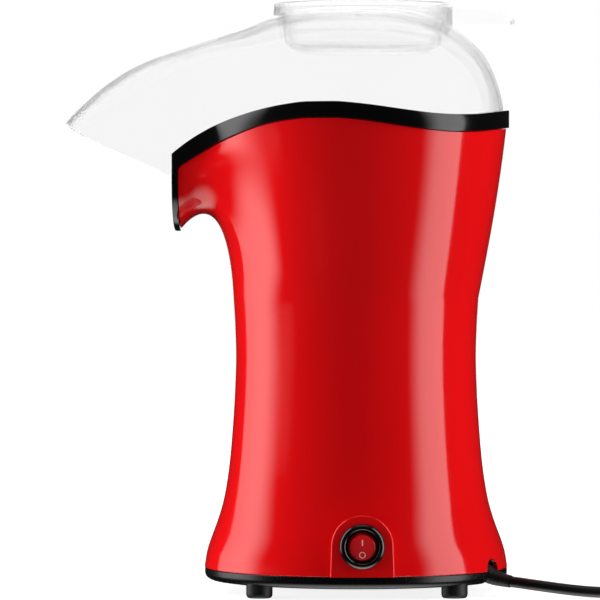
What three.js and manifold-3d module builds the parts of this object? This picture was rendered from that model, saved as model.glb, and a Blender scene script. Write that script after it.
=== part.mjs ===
// Hot-air popcorn maker, assembled from its separate pieces.
// Millimetres, +Z up. The spout points to -Y, the switch is on the +X side and the feet stand on z = 0.
import * as THREE from 'three';
import * as BufferGeometryUtils from 'three/addons/utils/BufferGeometryUtils.js';
import Module from 'manifold-3d';

const wasm = await Module();
wasm.setup();

// ---------------------------------------------------------------- driving dimensions
const AXIS_Y = 33.6;            // the round body stands this far behind the middle of the whole length
const OVAL = 0.96;              // the lower body is slightly narrower across than front to back
const WALL = 2.2;               // casing wall
const GAP = 0.3;                // clearance between neighbouring pieces

// casing radius against height, from the bottom edge to the start of the flare
const BODY = [[12.5, 77.4], [20.4, 76.1], [26.6, 74.2], [32.7, 71.9], [38.8, 69.8], [45, 68], [54, 66.2],
  [66.4, 64.5], [85, 62.9], [103, 61.8], [120, 61.3], [137, 61.8], [150, 62.6]];
const FLARE_Z = 150;
const CASING_BOTTOM = 12.5;

// rim band: plan outline (half), and the heights of its upper and lower edge against y
const RIM_PLAN = [[0, 78.2], [20, 75.7], [40, 67.2], [55, 55], [66, 41], [73.5, 24], [77, 4], [76.2, -14],
  [72.2, -28.5], [65.6, -41.5], [57, -52.8], [49.8, -60.4], [43, -66.4], [38.4, -71.8], [36.5, -78.5], [36, -86], [36, -93.3]];
const RIM_TOP = [[-93.3, 223.1], [-88, 227.4], [-80, 232.8], [-70, 238.1], [-61, 241.5], [-50, 244.8], [-38, 247.3],
  [-25, 248.8], [-12, 248.9], [0, 248], [10, 246.8], [20, 245.4], [30, 244.1], [40, 243.1], [50, 242.7],
  [60, 243], [70, 244.2], [78.2, 245.6]];
const RIM_BOTTOM = [[-93.3, 214.2], [-88, 217.6], [-80, 222.8], [-70, 228.7], [-61, 232.8], [-50, 236.7], [-38, 239.4],
  [-25, 240.7], [-12, 240.8], [0, 240], [10, 238.7], [20, 237.2], [30, 235.8], [40, 234.7], [50, 234.1],
  [60, 234.3], [70, 235.3], [78.2, 236.4]];
// U-shaped front lip of the chute: x, y, z from its upper corner to the bottom
const LIP = [[36, -93.3, 223.1], [36, -93.3, 215], [35.3, -93.3, 207], [32.2, -93.2, 198.2], [25.4, -92.9, 190.4],
  [15.5, -92.6, 185.9], [0, -92.2, 184]];
const LIP_DEPTH = 3;
const HOLE_R = 46;              // opening of the chute deck over the popping chamber
const HOLE_Z = 228;

// clear hood
const CROWN = [[-148.2, 238.6], [-145.1, 242.5], [-142.1, 245.5], [-135.9, 251.3], [-129.8, 256.6], [-123.7, 261],
  [-114.5, 266.7], [-102.2, 272.4], [-89.9, 276.7], [-77.7, 280.8], [-65.4, 284.6], [-53.1, 288.7], [-43.9, 292.6],
  [-28.6, 296.4], [-15.8, 298.2], [0, 298.9], [17.4, 298.2], [27.6, 296.4], [38.8, 293.1], [48.5, 288.2],
  [57.2, 281.6], [65.4, 272.6], [70.7, 262.3], [74, 252.1], [75.1, 246.5], [75.4, 240.9]];
const HOOD_HALF = [[-148.2, 0], [-147.2, 9], [-144.5, 15.8], [-139, 22.2], [-130, 27], [-118, 29.9], [-106, 31],
  [-94.5, 31.4], [-90.5, 31.6]];
const MOUTH = [[-148.2, 238.6], [-146.5, 237.4], [-142.1, 234.1], [-129.3, 228], [-115.9, 222.2], [-102.5, 216.1],
  [-94.4, 212.4], [-92.6, 218.6], [-90.5, 222.2], [-87, 224.6]];
const HOOD_T = 2;
const CUP_Y = 3.6;              // centre of the hood opening and of the measuring cup
const COLLAR_IN = 42.4, COLLAR_OUT = 43.8, COLLAR_TOP = 297.5;

// switch on the side pad
const PAD_X = 75.4, PAD_Y = 2.4, PAD_HALF = 15.6, PAD_TOP = 43.4;
const SWITCH_Y = 2.35, SWITCH_Z = 27.75, BEZEL_R = 11.35, SWITCH_BODY_R = 9.7;
const ROCKER_R = 7.6, ROCKER_PIVOT_X = 72.2, ROCKER_TILT = 7;

// base and feet
const FOOT_X = 46.5, FOOT_Y = 49, FOOT_R = 6.65, FOOT_TOP = 8.1;
const BASE_UNDER = 6.6, BASE_TOP = 10.2;

// mains lead
const CORD_D = 5.6;
const EXIT_ANGLE = 26;          // degrees from +Y towards +X
const COIL_R = 33;              // middle of the turns
const COIL_X = 10.6, COIL_Y = 170.6;

// ---------------------------------------------------------------- geometry helpers
const rad = (d) => d * Math.PI / 180;
const lerp = (a, b, t) => a + (b - a) * t;
const clamp01 = (t) => Math.min(1, Math.max(0, t));
const smooth = (t) => { t = clamp01(t); return t * t * (3 - 2 * t); };
const v3 = (x, y, z) => new THREE.Vector3(x, y, z);

// monotone cubic through points with rising x
function spline(points) {
  const n = points.length, h = [], d = [], m = [];
  for (let i = 0; i < n - 1; i++) {
    h.push(points[i + 1][0] - points[i][0]);
    d.push((points[i + 1][1] - points[i][1]) / h[i]);
  }
  for (let i = 0; i < n; i++) {
    if (i === 0) m.push(d[0]);
    else if (i === n - 1) m.push(d[n - 2]);
    else if (d[i - 1] * d[i] <= 0) m.push(0);
    else {
      const w1 = 2 * h[i] + h[i - 1], w2 = h[i] + 2 * h[i - 1];
      m.push((w1 + w2) / (w1 / d[i - 1] + w2 / d[i]));
    }
  }
  return (x) => {
    if (x <= points[0][0]) return points[0][1];
    if (x >= points[n - 1][0]) return points[n - 1][1];
    let i = 0;
    while (x > points[i + 1][0]) i++;
    const t = (x - points[i][0]) / h[i], t2 = t * t, t3 = t2 * t;
    return (2 * t3 - 3 * t2 + 1) * points[i][1] + (t3 - 2 * t2 + t) * h[i] * m[i]
      + (-2 * t3 + 3 * t2) * points[i + 1][1] + (t3 - t2) * h[i] * m[i + 1];
  };
}

// merged, positions only, no folded triangles, faces pointing out
function tidy(source) {
  const flat = source.index ? source.toNonIndexed() : source.clone();
  for (const name of Object.keys(flat.attributes)) if (name !== 'position') flat.deleteAttribute(name);
  const merged = BufferGeometryUtils.mergeVertices(flat, 1e-4);
  const index = merged.index.array, pos = merged.attributes.position, keep = [];
  let volume = 0;
  const a = v3(0, 0, 0), b = v3(0, 0, 0), c = v3(0, 0, 0);
  for (let i = 0; i < index.length; i += 3) {
    const [p, q, r] = [index[i], index[i + 1], index[i + 2]];
    if (p === q || q === r || r === p) continue;
    keep.push(p, q, r);
    a.fromBufferAttribute(pos, p); b.fromBufferAttribute(pos, q); c.fromBufferAttribute(pos, r);
    volume += a.dot(b.cross(c));
  }
  if (volume < 0) for (let i = 0; i < keep.length; i += 3) [keep[i + 1], keep[i + 2]] = [keep[i + 2], keep[i + 1]];
  merged.setIndex(keep);
  return merged;
}

function solid(geometry) {
  const g = tidy(geometry);
  return new wasm.Manifold(new wasm.Mesh({
    numProp: 3,
    vertProperties: new Float32Array(g.attributes.position.array),
    triVerts: new Uint32Array(g.index.array),
  }));
}

function geometryOf(manifold) {
  const m = manifold.getMesh();
  const g = new THREE.BufferGeometry();
  g.setAttribute('position', new THREE.BufferAttribute(new Float32Array(m.vertProperties), 3));
  g.setIndex(new THREE.BufferAttribute(new Uint32Array(m.triVerts), 1));
  return g;
}

const cut = (a, ...rest) => rest.reduce((s, b) => s.subtract(b), a);
const join = (a, ...rest) => rest.reduce((s, b) => s.add(b), a);

// rows of points, closed both ways: a ring-like skin of some section
function ringSkin(rows) {
  const nv = rows.length, nu = rows[0].length, pos = [], index = [];
  for (const row of rows) for (const p of row) pos.push(p.x, p.y, p.z);
  for (let j = 0; j < nv; j++) for (let i = 0; i < nu; i++) {
    const j1 = (j + 1) % nv, i1 = (i + 1) % nu;
    const a = j * nu + i, b = j1 * nu + i, c = j1 * nu + i1, d = j * nu + i1;
    index.push(a, b, c, a, c, d);
  }
  const g = new THREE.BufferGeometry();
  g.setAttribute('position', new THREE.Float32BufferAttribute(pos, 3));
  g.setIndex(index);
  return g;
}

// turned about +Z from (radius, height) points; a loop that misses the axis is closed on itself
function turned(points, segments = 32, closeLoop = false) {
  const list = points.map(([r, z]) => new THREE.Vector2(r, z));
  if (closeLoop) list.push(list[0].clone());
  return new THREE.LatheGeometry(list, segments).rotateX(Math.PI / 2);
}

const block = (x0, x1, y0, y1, z0, z1) => new THREE.BoxGeometry(x1 - x0, y1 - y0, z1 - z0)
  .translate((x0 + x1) / 2, (y0 + y1) / 2, (z0 + z1) / 2);
const drum = (r, z0, z1, x = 0, y = 0, segments = 20) => new THREE.CylinderGeometry(r, r, z1 - z0, segments)
  .rotateX(Math.PI / 2).translate(x, y, (z0 + z1) / 2);
const drumX = (r, x0, x1, y, z, segments = 24) => new THREE.CylinderGeometry(r, r, x1 - x0, segments)
  .rotateZ(Math.PI / 2).translate((x0 + x1) / 2, y, z);

function circleShape(r, sides) {
  const pts = [];
  for (let i = 0; i < sides; i++) pts.push(new THREE.Vector2(r * Math.cos(2 * Math.PI * i / sides), r * Math.sin(2 * Math.PI * i / sides)));
  return new THREE.Shape(pts);
}
function rod(points, r, sides, steps) {
  const curve = new THREE.CatmullRomCurve3(points.map((p) => v3(...p)), false, 'centripetal');
  return new THREE.ExtrudeGeometry(circleShape(r, sides), { steps, extrudePath: curve, bevelEnabled: false });
}
// round piece of changing radius along a curve
function taperedRod(points, radii, sides) {
  const curve = new THREE.CatmullRomCurve3(points.map((p) => v3(...p)), false, 'centripetal');
  const steps = radii.length - 1, frames = curve.computeFrenetFrames(steps, false), pos = [], index = [];
  for (let j = 0; j <= steps; j++) {
    const p = curve.getPointAt(j / steps);
    for (let i = 0; i < sides; i++) {
      const a = 2 * Math.PI * i / sides;
      const q = p.clone().addScaledVector(frames.normals[j], Math.cos(a) * radii[j]).addScaledVector(frames.binormals[j], Math.sin(a) * radii[j]);
      pos.push(q.x, q.y, q.z);
    }
  }
  const s = curve.getPointAt(0), e = curve.getPointAt(1);
  pos.push(s.x, s.y, s.z, e.x, e.y, e.z);
  const c0 = (steps + 1) * sides, c1 = c0 + 1;
  for (let j = 0; j < steps; j++) for (let i = 0; i < sides; i++) {
    const a = j * sides + i, b = j * sides + (i + 1) % sides, c = a + sides, d = b + sides;
    index.push(a, b, d, a, d, c);
  }
  for (let i = 0; i < sides; i++) {
    index.push(c0, (i + 1) % sides, i);
    index.push(c1, steps * sides + i, steps * sides + (i + 1) % sides);
  }
  const g = new THREE.BufferGeometry();
  g.setAttribute('position', new THREE.Float32BufferAttribute(pos, 3));
  g.setIndex(index);
  return g;
}
// flat shape in the x-y plane, lifted from z0 to z1
function plate(shape, z0, z1, curveSegments = 12) {
  return new THREE.ExtrudeGeometry(shape, { depth: z1 - z0, bevelEnabled: false, curveSegments }).translate(0, 0, z0);
}

// ---------------------------------------------------------------- materials
const paint = (hex, roughness, metalness = 0) => new THREE.MeshStandardMaterial({ color: hex, roughness, metalness });
const RED = paint(0xd20a12, 0.18), BLACK = paint(0x0b0b0c, 0.25), BLACK_MATT = paint(0x17171a, 0.55);
const RUBBER = paint(0x141415, 0.8), STEEL = paint(0xb9bcc0, 0.3, 1), ALUMINIUM = paint(0xc9ccd0, 0.35, 1);
const MICA = paint(0xb89a6a, 0.6), COPPER = paint(0xb5683a, 0.4, 1), FERRITE = paint(0x3a3a3e, 0.7);
const BRASS = paint(0xc9a24a, 0.35, 1), BOARD = paint(0x2c6b3a, 0.5), NICHROME = paint(0x8d8f94, 0.35, 1);
const SILICONE = paint(0xc9c4bb, 0.7), LEAD = paint(0x151516, 0.45), INNER_PLASTIC = paint(0x2a2a2d, 0.5);
const CLEAR = new THREE.MeshStandardMaterial({ color: 0xf2f4f6, roughness: 0.06, transparent: true, opacity: 0.35 });

const body = new THREE.Group();
body.position.set(0, AXIS_Y, 0);
function add(name, shape, material) {
  const g = shape.getMesh ? geometryOf(shape) : tidy(shape);
  const mesh = new THREE.Mesh(g, material);
  mesh.name = name;
  body.add(mesh);
  return mesh;
}

// ---------------------------------------------------------------- rim stations
// Each station holds the outer upper edge point p, the inward direction n, the direction of the band up,
// and the band height hb. The ring part runs from the back round the side to the front corner, the lip part
// runs from there down to the bottom of the U. The other half is its mirror image.
const rimTop = spline(RIM_TOP), rimBottom = spline(RIM_BOTTOM);
const RING_STEPS = 15, LIP_STEPS = 6;
function stationsHalf() {
  const plan = new THREE.CatmullRomCurve3([v3(-20, 75.7, 0), ...RIM_PLAN.map(([x, y]) => v3(x, y, 0))], false, 'centripetal');
  // arc length of the first span (mirror point) is skipped
  const fine = plan.getSpacedPoints(600).filter((p) => p.x >= 0);
  const total = fine.length - 1, out = [];
  for (let k = 0; k <= RING_STEPS; k++) {
    const f = k / RING_STEPS * total, i = Math.min(total - 1, Math.floor(f));
    const q = fine[i].clone().lerp(fine[i + 1], f - i);
    const t = fine[i + 1].clone().sub(fine[i]).normalize();
    const n = v3(t.y, -t.x, 0);
    if (n.dot(v3(-q.x, -q.y, 0)) < 0) n.negate();
    if (k === 0) { q.set(0, RIM_PLAN[0][1], 0); n.set(0, -1, 0); }
    const zt = rimTop(q.y), zb = rimBottom(q.y);
    out.push({ p: v3(q.x, q.y, zt), n, up: v3(0, 0, 1), hb: zt - zb, lip: 0, corner: false });
  }
  const corner = out[out.length - 1];
  corner.p.set(...LIP[0]);
  corner.n.set(-1, 0, 0);
  corner.up.set(0, -LIP_DEPTH, 7.6).normalize();
  corner.hb = Math.hypot(LIP_DEPTH, 7.6);
  corner.corner = true;
  const u = new THREE.CatmullRomCurve3([...LIP.map((q) => v3(...q)), v3(-15.5, -92.6, 185.9)], false, 'centripetal');
  const uf = u.getSpacedPoints(400).filter((p) => p.x >= 0);
  for (let k = 1; k <= LIP_STEPS; k++) {
    const f = k / LIP_STEPS * (uf.length - 1), i = Math.min(uf.length - 2, Math.floor(f));
    const q = uf[i].clone().lerp(uf[i + 1], f - i);
    const t = uf[i + 1].clone().sub(uf[i]).normalize();
    const n = v3(t.z, 0, -t.x).normalize();
    if (n.x > 0 || (Math.abs(n.x) < 1e-6 && n.z < 0)) n.negate();
    if (k === LIP_STEPS) { q.x = 0; n.set(0, 0, 1); }
    out.push({ p: q, n, up: v3(0, -1, 0), hb: LIP_DEPTH, lip: k / LIP_STEPS, corner: false });
  }
  return out;
}
const half = stationsHalf();
const mirrored = (v) => v3(-v.x, v.y, v.z);
const stations = [...half, ...half.slice(1, -1).reverse().map((s) => ({ ...s, p: mirrored(s.p), n: mirrored(s.n), up: s.up.clone() }))];
const at = (s, down, inward) => s.p.clone().addScaledVector(s.up, -down).addScaledVector(s.n, inward);

// ---------------------------------------------------------------- casing
const bodyR = spline(BODY);
const columnAngles = (() => {
  // angle from -Y of the column point under each station; the nose stations share the front 42 degrees
  const polar = half.map((s) => Math.atan2(s.p.x, -s.p.y));
  let first = polar.findIndex((a, i) => a < rad(42) && i > 3);
  return half.map((s, i) => i < first ? polar[i] : rad(42) * (half.length - 1 - i) / (half.length - first));
})();
function columnPoint(angle, z, side, inset = 0) {
  const b = bodyR(z) - inset, a = bodyR(z) * OVAL - inset;
  return v3(side * a * Math.sin(angle), -b * Math.cos(angle), z);
}
function casingPath(i, side) {
  const s = half[i], angle = columnAngles[i], p0 = columnPoint(angle, FLARE_Z, 1);
  const tight = s.corner ? 0.3 : s.lip > 0 ? 0 : 0.5 * smooth((-s.p.y - 52) / 10);   // more clearance in the tight front bend
  const p1 = at(s, s.hb + GAP + tight, 1.5);
  const out = v3(p0.x, p0.y, 0).normalize();
  const nose = s.lip > 0 || s.corner ? 1 : smooth((rad(50) - Math.atan2(s.p.x, -s.p.y)) / rad(18));
  const t0 = v3(0, 0, 1).addScaledVector(out, lerp(0.2, 0.055, nose)).multiplyScalar(lerp(30, 45, nose));
  const flare = s.lip > 0 ? lerp(0.08, 1.2, smooth((s.lip - 0.35) / 0.65)) : lerp(0.11, 0.06, nose);
  const t1 = s.up.clone().addScaledVector(s.n, -flare).normalize().multiplyScalar(s.lip > 0 ? 18.5 : lerp(30, 20, nose));
  const curve = new THREE.CubicBezierCurve3(p0, p0.clone().add(t0), p1.clone().sub(t1), p1);
  return side < 0 ? new THREE.CubicBezierCurve3(...['v0', 'v1', 'v2', 'v3'].map((k) => mirrored(curve[k]))) : curve;
}
const COLUMN_Z = [12.5, 22, 31, 41, 54, 75, 105, 132];
const FLARE_T = [0, 0.25, 0.46, 0.64, 0.82, 1];
const stationIndex = (k) => k < half.length ? [k, 1] : [2 * (half.length - 1) - k, -1];
const outerRows = [];
for (const z of COLUMN_Z) outerRows.push(stations.map((_, k) => { const [i, side] = stationIndex(k); return columnPoint(columnAngles[i], z, side); }));
for (const t of FLARE_T) outerRows.push(stations.map((_, k) => { const [i, side] = stationIndex(k); return casingPath(i, side).getPoint(t); }));
const innerRows = COLUMN_Z.map((z) => stations.map((_, k) => { const [i, side] = stationIndex(k); return columnPoint(columnAngles[i], z, side, WALL); }));
for (let j = COLUMN_Z.length; j < outerRows.length; j++) {
  const nu = stations.length;
  innerRows.push(stations.map((s, k) => {
    if (j === outerRows.length - 1) return outerRows[j][k].clone().addScaledVector(s.n, lerp(WALL, 1.5, s.lip));
    const du = outerRows[j][(k + 1) % nu].clone().sub(outerRows[j][(k + nu - 1) % nu]);
    const dv = outerRows[j + 1][k].clone().sub(outerRows[j - 1][k]);
    const n = du.cross(dv).normalize();
    const inside = v3(0, 0, outerRows[j][k].z + 25).sub(outerRows[j][k]);
    if (n.dot(inside) < 0) n.negate();
    return outerRows[j][k].clone().addScaledVector(n, lerp(WALL, 1.6, s.lip));
  }));
}
let casing = solid(ringSkin([...outerRows, ...innerRows.reverse()]));

// arch-shaped flat pad that carries the switch
function archShape(halfWidth, top, bottom, flareBottom = 0) {
  const s = new THREE.Shape(), r = halfWidth;
  s.moveTo(PAD_Y - r - flareBottom, bottom);
  s.lineTo(PAD_Y - r, top - r);
  s.absarc(PAD_Y, top - r, r, Math.PI, 0, true);
  s.lineTo(PAD_Y + r + flareBottom, bottom);
  s.closePath();
  return s;
}
// the shape's x is y here and its y is z; it is swept along +X
const archSolid = (shape, x0, x1, segments = 8) => solid(new THREE.ExtrudeGeometry(shape, { depth: x1 - x0, bevelEnabled: false, curveSegments: segments })
  .rotateX(Math.PI / 2).rotateZ(Math.PI / 2).translate(x0, 0, 0));
casing = join(casing, archSolid(archShape(PAD_HALF, PAD_TOP, CASING_BOTTOM, 0.5), 63, PAD_X));
casing = cut(casing, archSolid(archShape(PAD_HALF - 2.2, PAD_TOP - 2.2, CASING_BOTTOM - 2, 0.5), 58, PAD_X - 2.4),
  solid(drumX(SWITCH_BODY_R + 0.4, 60, 80, SWITCH_Y, SWITCH_Z, 20)));
casing = cut(casing, solid(turned([[0, 8], [74.4, 8], [74.4, 15], [0, 15]], 56).scale(OVAL, 1, 1)));
// screw posts over the feet
for (const sx of [-1, 1]) for (const sy of [-1, 1]) {
  casing = join(casing, solid(drum(4, 15.2, 26, sx * FOOT_X, sy * FOOT_Y, 8)));
  casing = cut(casing, solid(drum(2, 14, 23, sx * FOOT_X, sy * FOOT_Y, 6)));
}
// notch over the mains lead
const exitDir = v3(Math.sin(rad(EXIT_ANGLE)), Math.cos(rad(EXIT_ANGLE)), 0);
const exitAt = (r, z, aside = 0) => [exitDir.x * r + exitDir.y * aside, exitDir.y * r - exitDir.x * aside, z];
const notchTool = (halfWidth, zc, z0, r0, r1) => {
  const s = new THREE.Shape();
  s.moveTo(-halfWidth, z0); s.lineTo(-halfWidth, zc); s.absarc(0, zc, halfWidth, Math.PI, 0, true); s.lineTo(halfWidth, z0); s.closePath();
  return solid(new THREE.ExtrudeGeometry(s, { depth: r1 - r0, bevelEnabled: false, curveSegments: 8 })
    .rotateX(Math.PI / 2).translate(0, r1, 0).rotateZ(-rad(EXIT_ANGLE)));
};
casing = cut(casing, notchTool(5.9, 12.9, 5, 64.5, 84));
add('casing', casing, RED);

// ---------------------------------------------------------------- chute deck with rim band and front lip
const deckRows = [];
deckRows.push(stations.map((s) => at(s, 0, 0)));
deckRows.push(stations.map((s) => at(s, 0, 2.6)));
deckRows.push(stations.map((s) => at(s, s.hb * 0.6, 2.6)));
const shelf = (s) => s.lip > 0 ? lerp(3.1, 6, smooth(s.lip)) : s.corner ? 3.6 : 5.3;
const ledgeRow = stations.map((s) => at(s, s.hb * 0.6, shelf(s)));
deckRows.push(ledgeRow);
const holeAngle = columnAngles;
const holeRow = stations.map((_, k) => { const [i, side] = stationIndex(k); const a = holeAngle[i]; return v3(side * HOLE_R * Math.sin(a), -HOLE_R * Math.cos(a), HOLE_Z); });
const FUNNEL_T = [0.28, 0.55, 0.8];
const funnel = FUNNEL_T.map((t) => stations.map((s, k) => {
  const a = ledgeRow[k], b = holeRow[k], p = a.clone().lerp(b, t);
  p.z = lerp(a.z, b.z, s.lip > 0 ? t : 1 - (1 - t) ** 1.5);
  return p;
}));
deckRows.push(...funnel, holeRow);
const ringRow = (r, z) => stations.map((_, k) => { const [i, side] = stationIndex(k); const a = holeAngle[i]; return v3(side * r * Math.sin(a), -r * Math.cos(a), z); });
deckRows.push(ringRow(HOLE_R, 219.6), ringRow(HOLE_R + 1.8, 219.6), ringRow(HOLE_R + 1.8, HOLE_Z - 2.6));
const surface = [ledgeRow, ...funnel, holeRow];
const underRows = [3, 2, 1].map((j) => stations.map((s, k) => {
  const nu = stations.length;
  const du = surface[j][(k + 1) % nu].clone().sub(surface[j][(k + nu - 1) % nu]);
  const dv = surface[j + 1][k].clone().sub(surface[j - 1][k]);
  const n = du.cross(dv).normalize();
  if (n.z > 0) n.negate();
  return surface[j][k].clone().addScaledVector(n, lerp(2, 1.6, s.lip > 0 ? 1 : 0));
}));
deckRows.push(...underRows);
const skirt = (s) => s.lip > 0 ? 0.4 : s.corner ? 0.8 : 4 * smooth((s.p.y + 92) / 22) + 0.6;
deckRows.push(stations.map((s) => at(s, s.hb * (s.lip > 0 ? 0.98 : 0.9), shelf(s) + (s.lip > 0 ? 1.0 : 1.4))));
deckRows.push(stations.map((s) => at(s, s.hb + skirt(s), shelf(s) + (s.lip > 0 ? 0.8 : 1.6))));
deckRows.push(stations.map((s) => at(s, s.hb + skirt(s), s.lip > 0 ? lerp(3.6, 4.4, s.lip) : 4.9)));
deckRows.push(stations.map((s) => at(s, s.hb, s.lip > 0 ? lerp(3.4, 3.9, s.lip) : 4.1)));
deckRows.push(stations.map((s) => at(s, s.hb, 0)));
add('chute_deck', ringSkin(deckRows), BLACK);

// ---------------------------------------------------------------- clear hood
const crown = spline(CROWN), mouth = spline(MOUTH);
// half outline of the lower edge, from the beak tip to the back
const hoodEdge = [];
for (const [y, x] of HOOD_HALF) hoodEdge.push(v3(x, y, mouth(y)));
for (const s of half.slice(0, RING_STEPS).reverse()) {
  const q = at(s, 0, 2.9);
  if (q.y > -84) hoodEdge.push(v3(Math.max(0, q.x), q.y, rimTop(s.p.y) - s.hb * 0.6 + GAP));
}
const hoodWidth = spline(hoodEdge.slice(0, -1).map((p) => [p.y, p.x]).concat([[hoodEdge.at(-1).y, 0]]));
const hoodLow = spline(hoodEdge.map((p) => [p.y, p.z]));
function hoodHeight(x, y) {
  const w = Math.max(0.5, hoodWidth(y)), q = clamp01(Math.abs(x) / w);
  const n = lerp(2.6, 3.8, smooth((y + 130) / 60));
  const zc = crown(y), zb = hoodLow(y);
  return zb + (zc - zb) * Math.pow(Math.max(0, 1 - Math.pow(q, n)), 1 / n);
}
const HOOD_ROWS = 6;
const edgeHalf = hoodEdge;
const edgeAll = [...edgeHalf, ...edgeHalf.slice(1, -1).reverse().map(mirrored)];
const centre = v3(0, CUP_Y, 0);
const hoodRays = edgeAll.map((e) => {
  const d = v3(e.x, e.y - CUP_Y, 0), len = d.length();
  d.normalize();
  const samples = [];
  const N = 240;
  for (let i = 0; i <= N; i++) {
    const f = i / N, r = lerp(COLLAR_OUT, len, 1 - (1 - f) ** 2.4);
    const x = d.x * r, y = CUP_Y + d.y * r;
    samples.push(v3(x, y, i === N ? e.z : hoodHeight(x, y)));
  }
  samples[N].set(e.x, e.y, e.z);
  return { d, samples };
});
function resample(list, n) {
  const cum = [0];
  for (let i = 1; i < list.length; i++) cum.push(cum[i - 1] + list[i].distanceTo(list[i - 1]));
  const total = cum.at(-1), out = [];
  let j = 0;
  for (let k = 0; k <= n; k++) {
    const want = total * k / n;
    while (j < list.length - 2 && cum[j + 1] < want) j++;
    out.push(list[j].clone().lerp(list[j + 1], clamp01((want - cum[j]) / (cum[j + 1] - cum[j] || 1))));
  }
  return out;
}
const hoodGrid = hoodRays.map((r) => resample(r.samples, HOOD_ROWS));
const hoodOuter = [];
for (let j = 0; j <= HOOD_ROWS; j++) hoodOuter.push(hoodGrid.map((g) => g[j]));
const hoodInner = [];
for (let j = 0; j <= HOOD_ROWS; j++) hoodInner.push(hoodGrid.map((g, k) => {
  const nu = hoodGrid.length, p = g[j], d = hoodRays[k].d;
  if (j === 0) return v3(d.x * COLLAR_IN, CUP_Y + d.y * COLLAR_IN, p.z - HOOD_T);
  if (j === HOOD_ROWS) {
    const a = hoodGrid[(k + 1) % nu][j], b = hoodGrid[(k + nu - 1) % nu][j];
    const t = a.clone().sub(b).setZ(0).normalize(), n = v3(t.y, -t.x, 0);
    if (n.dot(d) > 0) n.negate();
    return p.clone().addScaledVector(n, HOOD_T);
  }
  const du = hoodGrid[(k + 1) % nu][j].clone().sub(hoodGrid[(k + nu - 1) % nu][j]);
  const dv = g[j + 1].clone().sub(g[j - 1]);
  const n = du.cross(dv).normalize();
  if (n.z > 0 || (Math.abs(n.z) < 0.05 && n.dot(d) > 0)) n.negate();
  if (n.dot(d) > 0.3) n.negate();
  return p.clone().addScaledVector(n, HOOD_T);
}));
const hoodRows = [
  hoodRays.map(({ d }) => v3(d.x * COLLAR_IN, CUP_Y + d.y * COLLAR_IN, COLLAR_TOP)),
  hoodRays.map(({ d }, k) => v3(d.x * COLLAR_OUT, CUP_Y + d.y * COLLAR_OUT, COLLAR_TOP)),
  ...hoodOuter.map((row, j) => j === 0 ? row.map((p) => v3(p.x, p.y, Math.min(p.z, COLLAR_TOP - 0.3))) : row),
  ...hoodInner.reverse(),
];
add('hood', ringSkin(hoodRows), CLEAR);

// ---------------------------------------------------------------- measuring cup, hangs in the hood opening
const CUP_SEG = 28;
const cupAngles = [...Array(CUP_SEG).keys()].map((i) => 2 * Math.PI * i / CUP_SEG);
const cupRing = (r, zf) => cupAngles.map((a) => { const x = r * Math.sin(a), y = CUP_Y - r * Math.cos(a); return v3(x, y, typeof zf === 'function' ? zf(x, y) : zf); });
const skirtLow = (x, y) => Math.min(297.3, hoodHeight(x * 1.02, CUP_Y + (y - CUP_Y) * 1.02) + 0.5);
const cupShell = solid(ringSkin([
  cupRing(40.4, 300), cupRing(44.6, 300.5), cupRing(45.7, 299.6), cupRing(45.7, skirtLow), cupRing(44.3, skirtLow),
  cupRing(44.3, 297.8), cupRing(41.9, 297.8), cupRing(40.6, 284), cupRing(39.2, 279.3), cupRing(35.8, 276.2), cupRing(8, 276.2),
  cupRing(8, 277.8), cupRing(35.2, 277.8), cupRing(37.9, 280.4), cupRing(39.1, 284.6),
]));
const cupFloor = solid(drum(9.5, 276.2, 277.8, 0, CUP_Y, 20));
let cup = join(cupShell, cupFloor);
// hollow tab behind the rim
const TAB_TOP = [[44, 300.1], [56, 299.7], [66, 298.7], [73, 297.3], [77.6, 295.5], [80.2, 293.2], [81, 291.2], [80.4, 289.6], [79.4, 288.9]];
function tabSolid(inset, drop, y0, wide0, wide1) {
  const s = new THREE.Shape();
  const low = 288.9 - drop * 3, inward = (y) => y - inset * smooth((y - 70) / 9);
  s.moveTo(y0, low);
  s.lineTo(y0, TAB_TOP[0][1] - drop);
  for (const [y, z] of TAB_TOP) if (y > y0) s.lineTo(inward(y), z - drop);
  if (drop > 0) s.lineTo(inward(TAB_TOP.at(-1)[0]), low);
  s.closePath();
  const side = solid(new THREE.ExtrudeGeometry(s, { depth: 40, bevelEnabled: false }).rotateX(Math.PI / 2).rotateZ(Math.PI / 2).translate(-20, 0, 0));
  const p = new THREE.Shape();
  const w0 = wide0 - inset, w1 = wide1 - inset;
  p.moveTo(-w0, 40); p.lineTo(w0, 40); p.lineTo(w0 * 0.98, 55); p.lineTo(w1, 70);
  p.quadraticCurveTo(w1 * 0.97, 81 - inset, w1 * 0.55, 81.2 - inset);
  p.lineTo(-w1 * 0.55, 81.2 - inset);
  p.quadraticCurveTo(-w1 * 0.97, 81 - inset, -w1, 70);
  p.lineTo(-w0 * 0.98, 55); p.closePath();
  return side.intersect(solid(plate(p, 280, 302, 5)));
}
const tab = cut(tabSolid(0, 0, 46, 15.5, 13.6), tabSolid(1.8, 1.8, 47.6, 15.5, 13.6), solid(block(-20, 20, 40, 49.5, 285, 290.8)));
const tabClear = solid(turned([[0, 270], [44.9, 270], [44.9, 301], [0, 301]], 40).translate(0, CUP_Y, 0));
cup = join(cup, cut(tab, tabClear));
add('measuring_cup', cup, CLEAR);

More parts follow.
